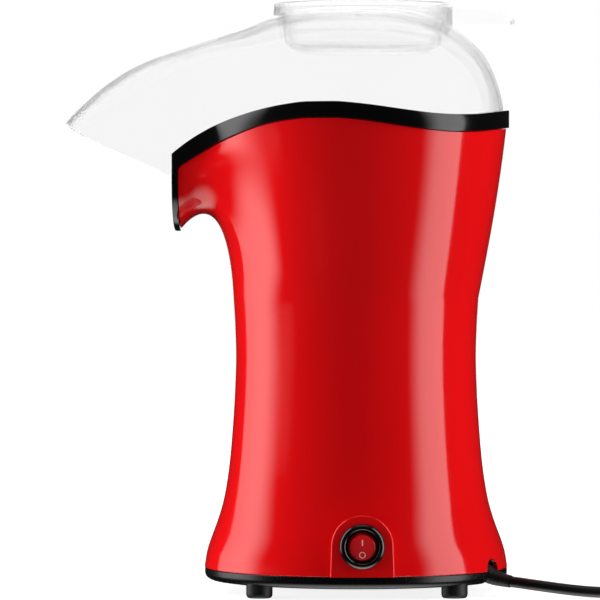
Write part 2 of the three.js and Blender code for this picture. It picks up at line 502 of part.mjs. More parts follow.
// ---------------------------------------------------------------- base plate and feet
let base = solid(turned([[0, BASE_UNDER], [70.5, BASE_UNDER], [73.6, 7.2], [75.8, 8.7], [76.9, 10.6], [77.2, CASING_BOTTOM - GAP],
  [74, CASING_BOTTOM - GAP], [74, 14.7], [71.6, 14.7], [71.6, BASE_TOP], [0, BASE_TOP]], 36).scale(OVAL, 1, 1));
for (let i = -3; i <= 3; i++) {
  const x = i * 10, reach = Math.sqrt(40 * 40 - x * x);
  base = cut(base, solid(block(x - 1.6, x + 1.6, -reach, -2.2, 5, 12)), solid(block(x - 1.6, x + 1.6, 2.2, reach, 5, 12)));
}
const feet = [[1, -1], [1, 1], [-1, 1], [-1, -1]];
feet.forEach(([sx, sy], i) => {
  const x = sx * FOOT_X, y = sy * FOOT_Y;
  base = cut(base, solid(drum(FOOT_R + 0.35, 5, FOOT_TOP + GAP, x, y, 12)), solid(drum(2, 5, 13, x, y, 6)));
  add(`foot_${i + 1}`, turned([[3.7, 0], [5.4, 0], [6.3, 0.7], [FOOT_R, 1.8], [FOOT_R, FOOT_TOP], [2, FOOT_TOP], [2, 5.2], [3.7, 5.2]], 12, true).translate(x, y, 0), RUBBER);
  add(`base_screw_${i + 1}`, turned([[0, 3], [1.2, 2.6], [3.2, 2.9], [3.35, 4.9], [1.6, 4.9], [1.6, 21], [0, 22.4]], 8).translate(x, y, 0), STEEL);
});
const posts = [90, 210, 330].map((a) => [Math.sin(rad(a + 30)) * 53, -Math.cos(rad(a + 30)) * 53]);
for (const [x, y] of posts) base = cut(join(base, solid(drum(3.4, BASE_TOP - 0.5, 16, x, y, 12))), solid(drum(1.5, 8.4, 17, x, y, 8)));
base = cut(base, notchTool(5.9, 12.9, 5.2, 64.5, 84));
add('base_plate', base, BLACK_MATT);

// ---------------------------------------------------------------- switch
const aboutX = (points, segments, closeLoop) => turned(points, segments, closeLoop).rotateY(Math.PI / 2).translate(0, SWITCH_Y, SWITCH_Z);
add('switch_housing', aboutX([[0, 61], [SWITCH_BODY_R, 61], [SWITCH_BODY_R, PAD_X + GAP], [BEZEL_R, PAD_X + GAP], [BEZEL_R, 76.9], [10.7, 77.9],
  [9.4, 78.2], [8.3, 77.4], [8.1, 66], [0, 66]], 24), BLACK);
const rockerSide = [];
for (const a of [-32, -11, 11, 32]) rockerSide.push([Math.cos(rad(a)) * (ROCKER_R + 0.15), ROCKER_PIVOT_X + Math.sin(rad(a)) * (ROCKER_R + 0.15)]);
const rocker = turned([[0, 67.2], [2.2, 67.2], [2.6, 68.1], ...rockerSide.map(([r, x]) => [r, x]), [5.9, 77.0], [4, 77.3], [0, 77.5]], 20)
  .rotateY(Math.PI / 2).translate(-ROCKER_PIVOT_X, 0, 0).rotateY(rad(ROCKER_TILT)).translate(ROCKER_PIVOT_X, SWITCH_Y, SWITCH_Z);
add('switch_rocker', rocker, RED);

// ---------------------------------------------------------------- popping chamber, heater and blower
let chamber = solid(turned([[0, 150], [40.5, 150], [44, 153.5], [44, 216], [53, 216], [53, 217], [43, 217], [43, 154], [40, 151], [0, 151]], 24));
for (let i = 0; i < 8; i++) chamber = cut(chamber, solid(block(38, 46, -4, 4, 155.5, 157.7).rotateZ(2 * Math.PI * (i + 0.5) / 8)));
add('popping_chamber', chamber, ALUMINIUM);
add('chamber_gasket', turned([[45, 217.3], [50.5, 217.3], [50.5, 219.3], [45, 219.3]], 24, true), SILICONE);
add('heater_shroud', turned([[50, 96.3], [52.8, 96.3], [52.8, 97.5], [51.2, 97.5], [51.2, 214.5], [54, 214.5], [54, 215.7], [50, 215.7]], 24, true), STEEL);
const micaPlate = () => {
  const s = new THREE.Shape();
  s.moveTo(-49.5, 96.3); s.lineTo(49.5, 96.3); s.lineTo(49.5, 101); s.lineTo(39, 103); s.lineTo(39, 145); s.lineTo(-39, 145); s.lineTo(-39, 103); s.lineTo(-49.5, 101); s.closePath();
  return new THREE.ExtrudeGeometry(s, { depth: 1.2, bevelEnabled: false }).rotateX(Math.PI / 2).translate(0, 0.6, 0);
};
add('mica_frame', join(solid(micaPlate()), solid(micaPlate().rotateZ(Math.PI / 2))), MICA);
const coilPoints = [];
for (let i = 0; i <= 42; i++) { const a = 2 * Math.PI * i / 14; coilPoints.push([Math.cos(a) * 41.8, Math.sin(a) * 41.8, 108 + 30 * i / 42]); }
add('heating_coil', rod(coilPoints, 1.7, 5, 42), NICHROME);
add('blower_housing', (() => {
  let s = solid(turned([[47.5, 16.3], [56.5, 16.3], [56.5, 18.3], [49.6, 18.3], [49.6, 94], [52.8, 94], [52.8, 96], [47.5, 96], [47.5, 41.7], [45.3, 41.7], [45.3, 39.5], [47.5, 38.5]], 24, true));
  for (const [x, y] of posts) s = cut(s, solid(drum(1.8, 15, 20, x, y, 8)));
  return s;
})(), INNER_PLASTIC);
posts.forEach(([x, y], i) => add(`housing_screw_${i + 1}`, turned([[0, 9.2], [1.2, 9.6], [1.2, 18.6], [2.9, 18.6], [2.7, 20.2], [0, 20.6]], 10).translate(x, y, 0), STEEL));
let mount = solid(turned([[8, 42], [47.2, 42], [47.2, 44.4], [18, 44.4], [18, 58], [16.3, 58], [16.3, 44.4], [8, 44.4]], 24, true));
for (let i = 0; i < 6; i++) {
  const s = new THREE.Shape(), a = rad(24);
  s.absarc(0, 0, 43.5, -a, a, false); s.absarc(0, 0, 21, a, -a, true); s.closePath();
  mount = cut(mount, solid(plate(s, 40, 47, 3).rotateZ(i * Math.PI / 3)));
}
add('motor_mount', mount, INNER_PLASTIC);
add('motor_can', turned([[14.8, 44.7], [16, 44.7], [16, 84], [3.3, 84], [3.3, 82.8], [14.8, 82.8]], 24, true), STEEL);
for (const i of [0, 1]) {
  const s = new THREE.Shape(), a = rad(58);
  s.absarc(0, 0, 14.5, -a, a, false); s.absarc(0, 0, 12, a, -a, true); s.closePath();
  add(`motor_magnet_${i + 1}`, plate(s, 52, 79, 8).rotateZ(i * Math.PI), FERRITE);
}
add('motor_end_cap', turned([[3.3, 44.8], [14.5, 44.8], [14.5, 47.2], [3.3, 47.2]], 20, true), INNER_PLASTIC);
add('motor_bushing_bottom', turned([[1.9, 44.6], [3, 44.6], [3, 47.6], [1.9, 47.6]], 12, true), BRASS);
add('motor_bushing_top', turned([[1.9, 81.6], [3, 81.6], [3, 85], [1.9, 85]], 12, true), BRASS);
const star = new THREE.Shape();
for (let i = 0; i < 5; i++) for (const [r, da] of [[11.4, -29], [11.4, 0], [11.4, 29], [5, 34], [5, 38]]) {
  const a = rad(72 * i + da), x = r * Math.cos(a), y = r * Math.sin(a);
  if (i === 0 && da === -29) star.moveTo(x, y); else star.lineTo(x, y);
}
star.closePath();
const boreHole = new THREE.Path();
boreHole.absarc(0, 0, 1.9, 0, 2 * Math.PI, true);
star.holes.push(boreHole);
add('motor_armature', plate(star, 54.5, 77.5, 6), COPPER);
add('motor_commutator', turned([[1.9, 48.4], [4.4, 48.4], [4.4, 54], [1.9, 54]], 12, true), COPPER);
[0, 1].forEach((i) => add(`motor_brush_${i + 1}`, block(4.7, 9, -1.5, 1.5, 49.6, 52).rotateZ(i * Math.PI), FERRITE));
add('motor_shaft', drum(1.6, 20, 88.5, 0, 0, 12), STEEL);
let fan = join(solid(turned([[1.9, 21], [6, 21], [6.2, 36], [5, 38], [1.9, 38]], 12, true)), solid(turned([[5, 33.6], [42, 36], [42, 37.4], [5, 36.4]], 20, true)));
for (let i = 0; i < 7; i++) {
  const s = new THREE.Shape();
  s.moveTo(5.4, -0.8); s.quadraticCurveTo(26, 7, 41.5, 1.2); s.lineTo(41.5, 2.6); s.quadraticCurveTo(26, 8.6, 5.2, 0.8); s.closePath();
  fan = join(fan, solid(plate(s, 22.5, 36, 2).rotateZ(i * 2 * Math.PI / 7)));
}
add('fan_impeller', fan, INNER_PLASTIC);

// ---------------------------------------------------------------- electrics
add('thermostat', new THREE.CylinderGeometry(8, 8, 6, 18).rotateZ(Math.PI / 2).translate(-55, 0, 192), BLACK_MATT);
add('thermal_fuse', drum(2, 180, 194, -51.9 - 1.9, 14, 10), STEEL);
add('rectifier_board', join(solid(block(-61, -59.4, -14, 14, BASE_TOP + GAP, 34)), solid(block(-64.4, -60.9, -11, -6, 20, 31)), solid(block(-64.4, -60.9, -2.5, 2.5, 20, 31)), solid(block(-64.4, -60.9, 6, 11, 20, 31))), BOARD);
const around = (deg, r, z) => [Math.sin(rad(deg)) * r, Math.cos(rad(deg)) * r, z];
const CLAMP_ANGLE = 64;
// the clamp stands across the lead: x is along the lead, y is outward
const clampTurn = (g) => g.rotateZ(-rad(CLAMP_ANGLE));
const clampBar = cut(solid(clampTurn(block(-3, 3, 56.9, 68.6, BASE_TOP + GAP, 18.4))),
  solid(clampTurn(new THREE.CylinderGeometry(3.1, 3.1, 12, 12).rotateZ(Math.PI / 2).translate(0, 60.6, 13.7))),
  solid(clampTurn(drum(1.7, 9, 20, 0, 65.8, 8))));
add('cord_clamp', clampBar, BLACK_MATT);
add('clamp_screw', clampTurn(turned([[0, 10.6], [1.3, 10.8], [1.3, 18.7], [2.6, 18.7], [2.4, 20], [0, 20.4]], 10).translate(0, 65.8, 0)), STEEL);
add('inner_lead', rod([exitAt(65, 13.6), exitAt(63, 13.6), around(29.5, 61, 13.6), around(36, 60, 13.6), around(46, 59.9, 13.6), around(56, 60.5, 13.6), around(66.5, 60.7, 13.7), around(75, 60, 17.4), around(81, 58.8, 23), [57.6, 3.6, 27.4]], CORD_D / 2 - 0.1, 8, 26), LEAD);
add('heater_lead_1', rod([[-56.5, -5, 36], [-55, -5, 44], [-54.9, -5, 70], [-54.5, -5, 100], [-54.2, -4, 140], [-54.5, -3, 172], [-55, -2, 183.4]], 1.1, 6, 12), SILICONE);
add('heater_lead_2', rod([[-56.5, 5, 36], [-55, 5, 44], [-54.9, 5.5, 70], [-54.5, 7, 100], [-53.9, 10, 140], [-53.2, 13, 165], [-53.8, 14, 179.6]], 1.1, 6, 12), SILICONE);

// ---------------------------------------------------------------- mains lead outside the casing
const reliefPath = [exitAt(65.6, 13.6), exitAt(69, 12.9), exitAt(72.5, 11.4), exitAt(77, 9.5), exitAt(82, 8.3), exitAt(86.4, 7.55)];
add('strain_relief', taperedRod(reliefPath, [2.9, 5, 5.1, 4.7, 4.3, 3.9, 3.6, 3.4], 14), RUBBER);
const FLOOR_Z = CORD_D / 2 + 0.03;
// three turns lie side by side and the next ones rest in the grooves between them
const COIL_IN = COIL_R - 1.5 * CORD_D, COIL_OUT = COIL_R + 1.5 * CORD_D;
const COIL_TOP = FLOOR_Z + Math.sqrt(3) / 2 * CORD_D + CORD_D / 2 + 0.03;
const laneX = COIL_X + COIL_R + CORD_D;
add('power_cord', rod([exitAt(86.8, 7.5), exitAt(90, 7.25), exitAt(93.5, 6.9), [43.6, 88, 6.45], [45.6, 96, 5.5], [47.3, 105, 4.35], [48.6, 115, 3.35], [laneX, 126, FLOOR_Z], [laneX, 137, FLOOR_Z], [laneX, COIL_Y - 21.4, FLOOR_Z]], CORD_D / 2, 8, 14), LEAD);
add('cord_coil', turned([[COIL_IN, 0.05], [COIL_OUT, 0.05], [COIL_OUT, 2 * FLOOR_Z], [COIL_OUT - CORD_D / 2, COIL_TOP], [COIL_IN + CORD_D / 2, COIL_TOP], [COIL_IN, 2 * FLOOR_Z]], 32, true).translate(COIL_X, COIL_Y, 0), LEAD);
// strap over the turns
const strap = cut(solid(block(-3, 3, COIL_IN - 1.5, COIL_OUT + 1.5, 0.05, COIL_TOP + 1.5)), solid(block(-5, 5, COIL_IN - 0.4, COIL_OUT + 0.4, -2, COIL_TOP + 0.4)));
add('cord_tie', geometryOf(strap).rotateZ(rad(140)).translate(COIL_X, COIL_Y, 0), RUBBER);
// the far end leaves the top turn and runs to the plug, which lies flat beside the coil
const PLUG_X = COIL_X - 46.2, PLUG_Y = COIL_Y + COIL_R + CORD_D / 2 + 6.4, PLUG_Z = 7.2;
add('cord_tail', rod([[COIL_X - 21.5, COIL_Y + 40.4, 8.3], [COIL_X - 28, COIL_Y + 41.6, 7.7], [PLUG_X + 10.35, PLUG_Y, PLUG_Z]], CORD_D / 2, 8, 3), LEAD);
const plugShape = new THREE.Shape();
plugShape.moveTo(10, -3.9); plugShape.lineTo(0, -5.2); plugShape.lineTo(-5, -11.5); plugShape.quadraticCurveTo(-7, -13, -10, -13);
plugShape.lineTo(-27, -13.6); plugShape.lineTo(-27, 13.6); plugShape.lineTo(-10, 13); plugShape.quadraticCurveTo(-7, 13, -5, 11.5); plugShape.lineTo(0, 5.2); plugShape.lineTo(10, 3.9); plugShape.closePath();
const plugSide = new THREE.Shape();
plugSide.moveTo(10, -3.7); plugSide.lineTo(-4, -5); plugSide.lineTo(-10, -7.1); plugSide.lineTo(-27, -7.1); plugSide.lineTo(-27, 7.1); plugSide.lineTo(-10, 7.1); plugSide.lineTo(-4, 5); plugSide.lineTo(10, 3.7); plugSide.closePath();
const plugBody = solid(plate(plugShape, -8, 8, 3)).intersect(solid(new THREE.ExtrudeGeometry(plugSide, { depth: 40, bevelEnabled: false }).rotateX(Math.PI / 2).translate(0, 20, 0)));
add('plug_body', geometryOf(plugBody).translate(PLUG_X, PLUG_Y, PLUG_Z), LEAD);
[-1, 1].forEach((side, i) => add(`plug_pin_${i + 1}`, turned([[0, 0], [1.6, 0], [2.4, 1.2], [2.4, 19], [0, 19]], 12).rotateY(Math.PI / 2).translate(PLUG_X - 27.3 - 19, PLUG_Y + side * 9.5, PLUG_Z), BRASS));

const assembly = new THREE.Group();
assembly.add(body);
export default assembly;
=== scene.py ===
import math
import bpy
import bmesh
import numpy as np
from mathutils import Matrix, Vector


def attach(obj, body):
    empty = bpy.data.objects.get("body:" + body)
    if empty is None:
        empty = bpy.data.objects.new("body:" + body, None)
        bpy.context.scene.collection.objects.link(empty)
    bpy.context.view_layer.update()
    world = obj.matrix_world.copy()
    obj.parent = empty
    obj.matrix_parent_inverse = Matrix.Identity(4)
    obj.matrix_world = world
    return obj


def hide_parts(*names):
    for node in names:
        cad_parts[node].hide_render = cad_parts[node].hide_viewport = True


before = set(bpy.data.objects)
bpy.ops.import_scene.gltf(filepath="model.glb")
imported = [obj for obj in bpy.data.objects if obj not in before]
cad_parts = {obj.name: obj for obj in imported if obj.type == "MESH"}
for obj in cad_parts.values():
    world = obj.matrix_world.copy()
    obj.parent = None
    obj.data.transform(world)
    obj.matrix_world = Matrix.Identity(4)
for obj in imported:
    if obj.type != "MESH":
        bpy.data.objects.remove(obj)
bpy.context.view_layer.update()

# ------------------------------------------------------------------ dimensions, in millimetres about the body axis
AXIS_Y = 33.6
OVAL, WALL, GAP = 0.96, 2.2, 0.3
BODY = [(12.5, 77.4), (20.4, 76.1), (26.6, 74.2), (32.7, 71.9), (38.8, 69.8), (45, 68), (54, 66.2),
        (66.4, 64.5), (85, 62.9), (103, 61.8), (120, 61.3), (137, 61.8), (150, 62.6)]
FLARE_Z = 150
RIM_PLAN = [(0, 78.2), (20, 75.7), (40, 67.2), (55, 55), (66, 41), (73.5, 24), (77, 4), (76.2, -14),
            (72.2, -28.5), (65.6, -41.5), (57, -52.8), (49.8, -60.4), (43, -66.4), (38.4, -71.8), (36.5, -78.5), (36, -86), (36, -93.3)]
RIM_TOP = [(-93.3, 223.1), (-88, 227.4), (-80, 232.8), (-70, 238.1), (-61, 241.5), (-50, 244.8), (-38, 247.3),
           (-25, 248.8), (-12, 248.9), (0, 248), (10, 246.8), (20, 245.4), (30, 244.1), (40, 243.1), (50, 242.7),
           (60, 243), (70, 244.2), (78.2, 245.6)]
RIM_BOTTOM = [(-93.3, 214.2), (-88, 217.6), (-80, 222.8), (-70, 228.7), (-61, 232.8), (-50, 236.7), (-38, 239.4),
              (-25, 240.7), (-12, 240.8), (0, 240), (10, 238.7), (20, 237.2), (30, 235.8), (40, 234.7), (50, 234.1),
              (60, 234.3), (70, 235.3), (78.2, 236.4)]
LIP = [(36, -93.3, 223.1), (36, -93.3, 215), (35.3, -93.3, 207), (32.2, -93.2, 198.2), (25.4, -92.9, 190.4),
       (15.5, -92.6, 185.9), (0, -92.2, 184)]
LIP_DEPTH = 3.0
HOLE_R, HOLE_Z = 46.0, 228.0
CROWN = [(-148.2, 238.6), (-145.1, 242.5), (-142.1, 245.5), (-135.9, 251.3), (-129.8, 256.6), (-123.7, 261),
         (-114.5, 266.7), (-102.2, 272.4), (-89.9, 276.7), (-77.7, 280.8), (-65.4, 284.6), (-53.1, 288.7), (-43.9, 292.6),
         (-28.6, 296.4), (-15.8, 298.2), (0, 298.9), (17.4, 298.2), (27.6, 296.4), (38.8, 293.1), (48.5, 288.2),
         (57.2, 281.6), (65.4, 272.6), (70.7, 262.3), (74, 252.1), (75.1, 246.5), (75.4, 240.9)]
HOOD_HALF = [(-148.2, 0), (-147.2, 9), (-144.5, 15.8), (-139, 22.2), (-130, 27), (-118, 29.9), (-106, 31),
             (-94.5, 31.4), (-90.5, 31.6)]
MOUTH = [(-148.2, 238.6), (-146.5, 237.4), (-142.1, 234.1), (-129.3, 228), (-115.9, 222.2), (-102.5, 216.1),
         (-94.4, 212.4), (-92.6, 218.6), (-90.5, 222.2), (-87, 224.6)]
HOOD_T = 2.0
CUP_Y = 3.6
COLLAR_IN, COLLAR_OUT, COLLAR_TOP = 42.4, 43.8, 297.5
PAD_X, PAD_Y, PAD_HALF, PAD_TOP = 75.4, 2.4, 15.6, 43.4
SWITCH_Y, SWITCH_Z, BEZEL_R, SWITCH_BODY_R = 2.35, 27.75, 11.35, 9.7
ROCKER_R, ROCKER_PIVOT_X, ROCKER_TILT = 7.6, 72.2, 7.0
FOOT_X, FOOT_Y, FOOT_R, FOOT_TOP = 46.5, 49.0, 6.65, 8.1
BASE_UNDER, BASE_TOP = 6.6, 10.2
CORD_D, EXIT_ANGLE = 5.6, 26.0
COIL_R, COIL_X, COIL_Y = 33.0, 10.6, 170.6
RING_LAST, LIP_STEPS = 15, 6

rad = math.radians


def lerp(a, b, t):
    return a + (b - a) * t


def smooth(t):
    t = np.clip(t, 0.0, 1.0)
    return t * t * (3 - 2 * t)


def place(points):
    """millimetres about the body axis to metres in the row frame"""
    p = np.array(points, float) * 0.001
    p[..., 1] += AXIS_Y * 0.001
    return p


# ------------------------------------------------------------------ camera
CAM_X, CAM_Y, CAM_Z, AIM_Z = 2500.0, -28.6, 200.0, 148.7
cam_data = bpy.data.cameras.new("camera")
cam_data.sensor_width = 36.0
cam_data.lens = 36.0 * 2500.0 / (0.511 * 600.0)
cam_data.clip_start, cam_data.clip_end = 0.05, 60.0
cam = bpy.data.objects.new("camera", cam_data)
bpy.context.scene.collection.objects.link(cam)
cam.location = Vector(place([CAM_X, CAM_Y, CAM_Z]).tolist())
aim = Vector(place([0.0, CAM_Y, AIM_Z]).tolist())
cam.rotation_euler = (aim - cam.location).to_track_quat("-Z", "Y").to_euler()
bpy.context.scene.camera = cam


# ------------------------------------------------------------------ node materials
def new_material(name):
    m = bpy.data.materials.new(name)
    m.use_nodes = True
    t = m.node_tree
    t.nodes.clear()
    out = t.nodes.new("ShaderNodeOutputMaterial")
    b = t.nodes.new("ShaderNodeBsdfPrincipled")
    t.links.new(b.outputs[0], out.inputs[0])
    return m, t, b


def node(t, kind, **values):
    n = t.nodes.new(kind)
    for k, v in values.items():
        if hasattr(n, k):
            setattr(n, k, v)
        else:
            n.inputs[k].default_value = v
    return n


def plastic(name, light, dark, rough=(0.12, 0.2), coat=0.0, grain=900.0, bump=0.05, patch=35.0, specular=0.5,
            metallic=0.0, coat_rough=0.05, wave=0.0, ior=1.5):
    """moulded plastic, rubber or metal: a slow drift of colour, a fine grain in gloss, and a small surface bump"""
    m, t, b = new_material(name)
    tc = node(t, "ShaderNodeTexCoord")
    big = node(t, "ShaderNodeTexNoise", Scale=patch, Detail=3.0, Roughness=0.5)
    fine = node(t, "ShaderNodeTexNoise", Scale=grain, Detail=2.0, Roughness=0.55)
    t.links.new(tc.outputs["Object"], big.inputs["Vector"])
    t.links.new(tc.outputs["Object"], fine.inputs["Vector"])
    ramp = node(t, "ShaderNodeValToRGB")
    ramp.color_ramp.elements[0].position, ramp.color_ramp.elements[1].position = 0.3, 0.7
    ramp.color_ramp.elements[0].color = (*dark, 1)
    ramp.color_ramp.elements[1].color = (*light, 1)
    t.links.new(big.outputs["Fac"], ramp.inputs["Fac"])
    t.links.new(ramp.outputs["Color"], b.inputs["Base Color"])
    r = node(t, "ShaderNodeMapRange")
    r.inputs["From Min"].default_value, r.inputs["From Max"].default_value = 0.3, 0.7
    r.inputs["To Min"].default_value, r.inputs["To Max"].default_value = rough
    t.links.new(fine.outputs["Fac"], r.inputs["Value"])
    t.links.new(r.outputs["Result"], b.inputs["Roughness"])
    bp = node(t, "ShaderNodeBump", Strength=bump, Distance=0.0002)
    t.links.new(fine.outputs["Fac"], bp.inputs["Height"])
    last = bp
    if wave:
        slow = node(t, "ShaderNodeTexNoise", Scale=22.0, Detail=1.0)
        t.links.new(tc.outputs["Object"], slow.inputs["Vector"])
        b2 = node(t, "ShaderNodeBump", Strength=wave, Distance=0.001)
        t.links.new(slow.outputs["Fac"], b2.inputs["Height"])
        t.links.new(bp.outputs["Normal"], b2.inputs["Normal"])
        last = b2
    t.links.new(last.outputs["Normal"], b.inputs["Normal"])
    b.inputs["Metallic"].default_value = metallic
    b.inputs["Specular IOR Level"].default_value = specular
    b.inputs["IOR"].default_value = ior
    b.inputs["Coat Weight"].default_value = coat
    b.inputs["Coat Roughness"].default_value = coat_rough
    return m


def clear(name, tint_a, tint_b, rough=(0.05, 0.1), ior=1.3, bump=0.02):
    m, t, b = new_material(name)
    tc = node(t, "ShaderNodeTexCoord")
    big = node(t, "ShaderNodeTexNoise", Scale=18.0, Detail=2.0)
    fine = node(t, "ShaderNodeTexNoise", Scale=420.0, Detail=2.0)
    t.links.new(tc.outputs["Object"], big.inputs["Vector"])
    t.links.new(tc.outputs["Object"], fine.inputs["Vector"])
    ramp = node(t, "ShaderNodeValToRGB")
    ramp.color_ramp.elements[0].position, ramp.color_ramp.elements[1].position = 0.3, 0.7
    ramp.color_ramp.elements[0].color = (*tint_a, 1)
    ramp.color_ramp.elements[1].color = (*tint_b, 1)
    t.links.new(big.outputs["Fac"], ramp.inputs["Fac"])
    t.links.new(ramp.outputs["Color"], b.inputs["Base Color"])
    r = node(t, "ShaderNodeMapRange")
    r.inputs["To Min"].default_value, r.inputs["To Max"].default_value = rough
    t.links.new(fine.outputs["Fac"], r.inputs["Value"])
    t.links.new(r.outputs["Result"], b.inputs["Roughness"])
    bp = node(t, "ShaderNodeBump", Strength=bump, Distance=0.0002)
    t.links.new(fine.outputs["Fac"], bp.inputs["Height"])
    t.links.new(bp.outputs["Normal"], b.inputs["Normal"])
    b.inputs["Transmission Weight"].default_value = 1.0
    b.inputs["Specular IOR Level"].default_value = 0.25
    b.inputs["IOR"].default_value = ior
    b.inputs["Alpha"].default_value = 0.55
    return m


RED = plastic("casing_red", (0.81, 0.0043, 0.0060), (0.775, 0.0038, 0.0054), rough=(0.075, 0.11), grain=1500, bump=0.015,
              patch=14, specular=0.5, ior=1.5)
RIM = plastic("rim_black", (0.004, 0.004, 0.0042), (0.0028, 0.0028, 0.003), rough=(0.1, 0.15), grain=1300, bump=0.02, patch=30)
BASE = plastic("base_black", (0.0045, 0.0045, 0.0048), (0.003, 0.003, 0.0033), rough=(0.2, 0.3), grain=1100, bump=0.08, patch=30, specular=0.4)
RUBBER = plastic("rubber_black", (0.012, 0.012, 0.0125), (0.007, 0.007, 0.0075), rough=(0.42, 0.6), grain=1900, bump=0.2, patch=60)
SWITCH = plastic("switch_black", (0.006, 0.006, 0.0065), (0.004, 0.004, 0.0045), rough=(0.12, 0.2), grain=1500, bump=0.03, patch=80, specular=0.8)
ROCKER = plastic("rocker_red", (0.84, 0.012, 0.018), (0.72, 0.010, 0.015), rough=(0.12, 0.2), grain=1500, bump=0.03, patch=90, coat=0.4)
MARK = plastic("mark_white", (1.0, 0.55, 0.5), (0.95, 0.5, 0.46), rough=(0.35, 0.5), grain=1500, bump=0.02, patch=90)
LEAD = plastic("lead_black", (0.013, 0.013, 0.0138), (0.0075, 0.0075, 0.0083), rough=(0.3, 0.42), grain=1700, bump=0.12, patch=70)
STEEL = plastic("screw_steel", (0.56, 0.57, 0.58), (0.42, 0.43, 0.45), rough=(0.22, 0.4), grain=2200, bump=0.15, patch=140, metallic=1.0)
SHEET = plastic("sheet_steel", (0.6, 0.61, 0.62), (0.5, 0.51, 0.53), rough=(0.28, 0.42), grain=900, bump=0.1, patch=60, metallic=1.0)
ALU = plastic("chamber_aluminium", (0.7, 0.71, 0.72), (0.6, 0.61, 0.63), rough=(0.25, 0.4), grain=1200, bump=0.12, patch=50, metallic=1.0)
BRASS = plastic("pin_brass", (0.7, 0.54, 0.24), (0.6, 0.44, 0.17), rough=(0.2, 0.34), grain=1500, bump=0.08, patch=140, metallic=1.0)
COPPER = plastic("winding_copper", (0.6, 0.26, 0.11), (0.46, 0.17, 0.06), rough=(0.3, 0.45), grain=2600, bump=0.4, patch=200, metallic=1.0)
MAGNET = plastic("magnet_grey", (0.05, 0.05, 0.055), (0.03, 0.03, 0.034), rough=(0.5, 0.7), grain=2000, bump=0.2, patch=120)
INNER = plastic("inner_plastic", (0.026, 0.026, 0.03), (0.017, 0.017, 0.02), rough=(0.35, 0.5), grain=1400, bump=0.1, patch=50)
MICA = plastic("mica", (0.5, 0.36, 0.17), (0.36, 0.25, 0.11), rough=(0.3, 0.5), grain=700, bump=0.15, patch=120)
SILICONE = plastic("silicone", (0.6, 0.57, 0.52), (0.5, 0.47, 0.42), rough=(0.45, 0.6), grain=1200, bump=0.1, patch=60)
BOARD = plastic("board_green", (0.03, 0.16, 0.055), (0.018, 0.11, 0.038), rough=(0.35, 0.5), grain=1200, bump=0.1, patch=160)
CLEAR = clear("clear_plastic", (0.915, 0.915, 0.920), (0.93, 0.93, 0.934), rough=(0.07, 0.14), ior=1.07)
CUP_CLEAR = clear("cup_clear", (0.97, 0.97, 0.972), (0.98, 0.98, 0.982), rough=(0.05, 0.1), ior=1.08)


# ------------------------------------------------------------------ mesh helpers
class Mesh:
    def __init__(self):
        self.v, self.f = [], []

    def add(self, verts, faces):
        n = len(self.v)
        self.v.extend([tuple(map(float, p)) for p in verts])
        self.f.extend([tuple(i + n for i in f) for f in faces])
        return self


def skin(rows, close_u=True, close_v=False, cap0=False, cap1=False):
    rows = np.array(rows, float)
    nv, nu = rows.shape[:2]
    verts = rows.reshape(-1, 3)
    faces = []
    for j in range(nv if close_v else nv - 1):
        j1 = (j + 1) % nv
        for i in range(nu if close_u else nu - 1):
            i1 = (i + 1) % nu
            faces.append((j * nu + i, j1 * nu + i, j1 * nu + i1, j * nu + i1))
    if cap0:
        faces.append(tuple(range(nu)))
    if cap1:
        faces.append(tuple(reversed(range((nv - 1) * nu, nv * nu))))
    return verts, faces


def lathe(profile, seg=96, closed=False, scale=(1, 1, 1), shift=(0, 0, 0), about=None):
    """turned about z; points on the axis become one vertex"""
    verts, faces, rings = [], [], []
    for r, z in profile:
        if r < 1e-6:
            rings.append([len(verts)])
            verts.append((0, 0, z))
        else:
            rings.append(list(range(len(verts), len(verts) + seg)))
            verts += [(r * math.cos(2 * math.pi * i / seg), r * math.sin(2 * math.pi * i / seg), z) for i in range(seg)]
    pairs = list(zip(rings, rings[1:])) + ([(rings[-1], rings[0])] if closed else [])
    for a, b in pairs:
        for i in range(seg):
            i1 = (i + 1) % seg
            if len(a) == 1 and len(b) == 1:
                continue
            if len(a) == 1:
                faces.append((a[0], b[i1], b[i]))
            elif len(b) == 1:
                faces.append((a[i], a[i1], b[0]))
            else:
                faces.append((a[i], a[i1], b[i1], b[i]))
    v = np.array(verts, float)
    if about is not None:
        v = about(v)
    return v * np.array(scale) + np.array(shift), faces


def build(name, data, material, body=None, replaces=(), sharp=32.0, metres=False):
    """one object out of (verts, faces) or a Mesh, normals out, smooth with sharp edges by angle"""
    verts, faces = (data.v, data.f) if isinstance(data, Mesh) else data
    me = bpy.data.meshes.new(name)
    pts = np.array(verts, float) if metres else place(np.array(verts, float))
    me.from_pydata([tuple(p) for p in pts], [], [tuple(f) for f in faces])
    bm = bmesh.new()
    bm.from_mesh(me)
    bmesh.ops.remove_doubles(bm, verts=bm.verts, dist=2e-6)
    bmesh.ops.dissolve_degenerate(bm, edges=bm.edges, dist=1e-6)
    bmesh.ops.recalc_face_normals(bm, faces=bm.faces)
    bm.to_mesh(me)
    bm.free()
    ob = bpy.data.objects.new(name, me)
    bpy.context.scene.collection.objects.link(ob)
    if material is not None:
        me.materials.append(material)
    soften(ob, sharp)
    if body:
        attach(ob, body)
    if replaces:
        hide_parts(*replaces)
    return ob


def soften(ob, sharp):
    me = ob.data
    me.polygons.foreach_set("use_smooth", [True] * len(me.polygons))
    me.set_sharp_from_angle(angle=rad(sharp))


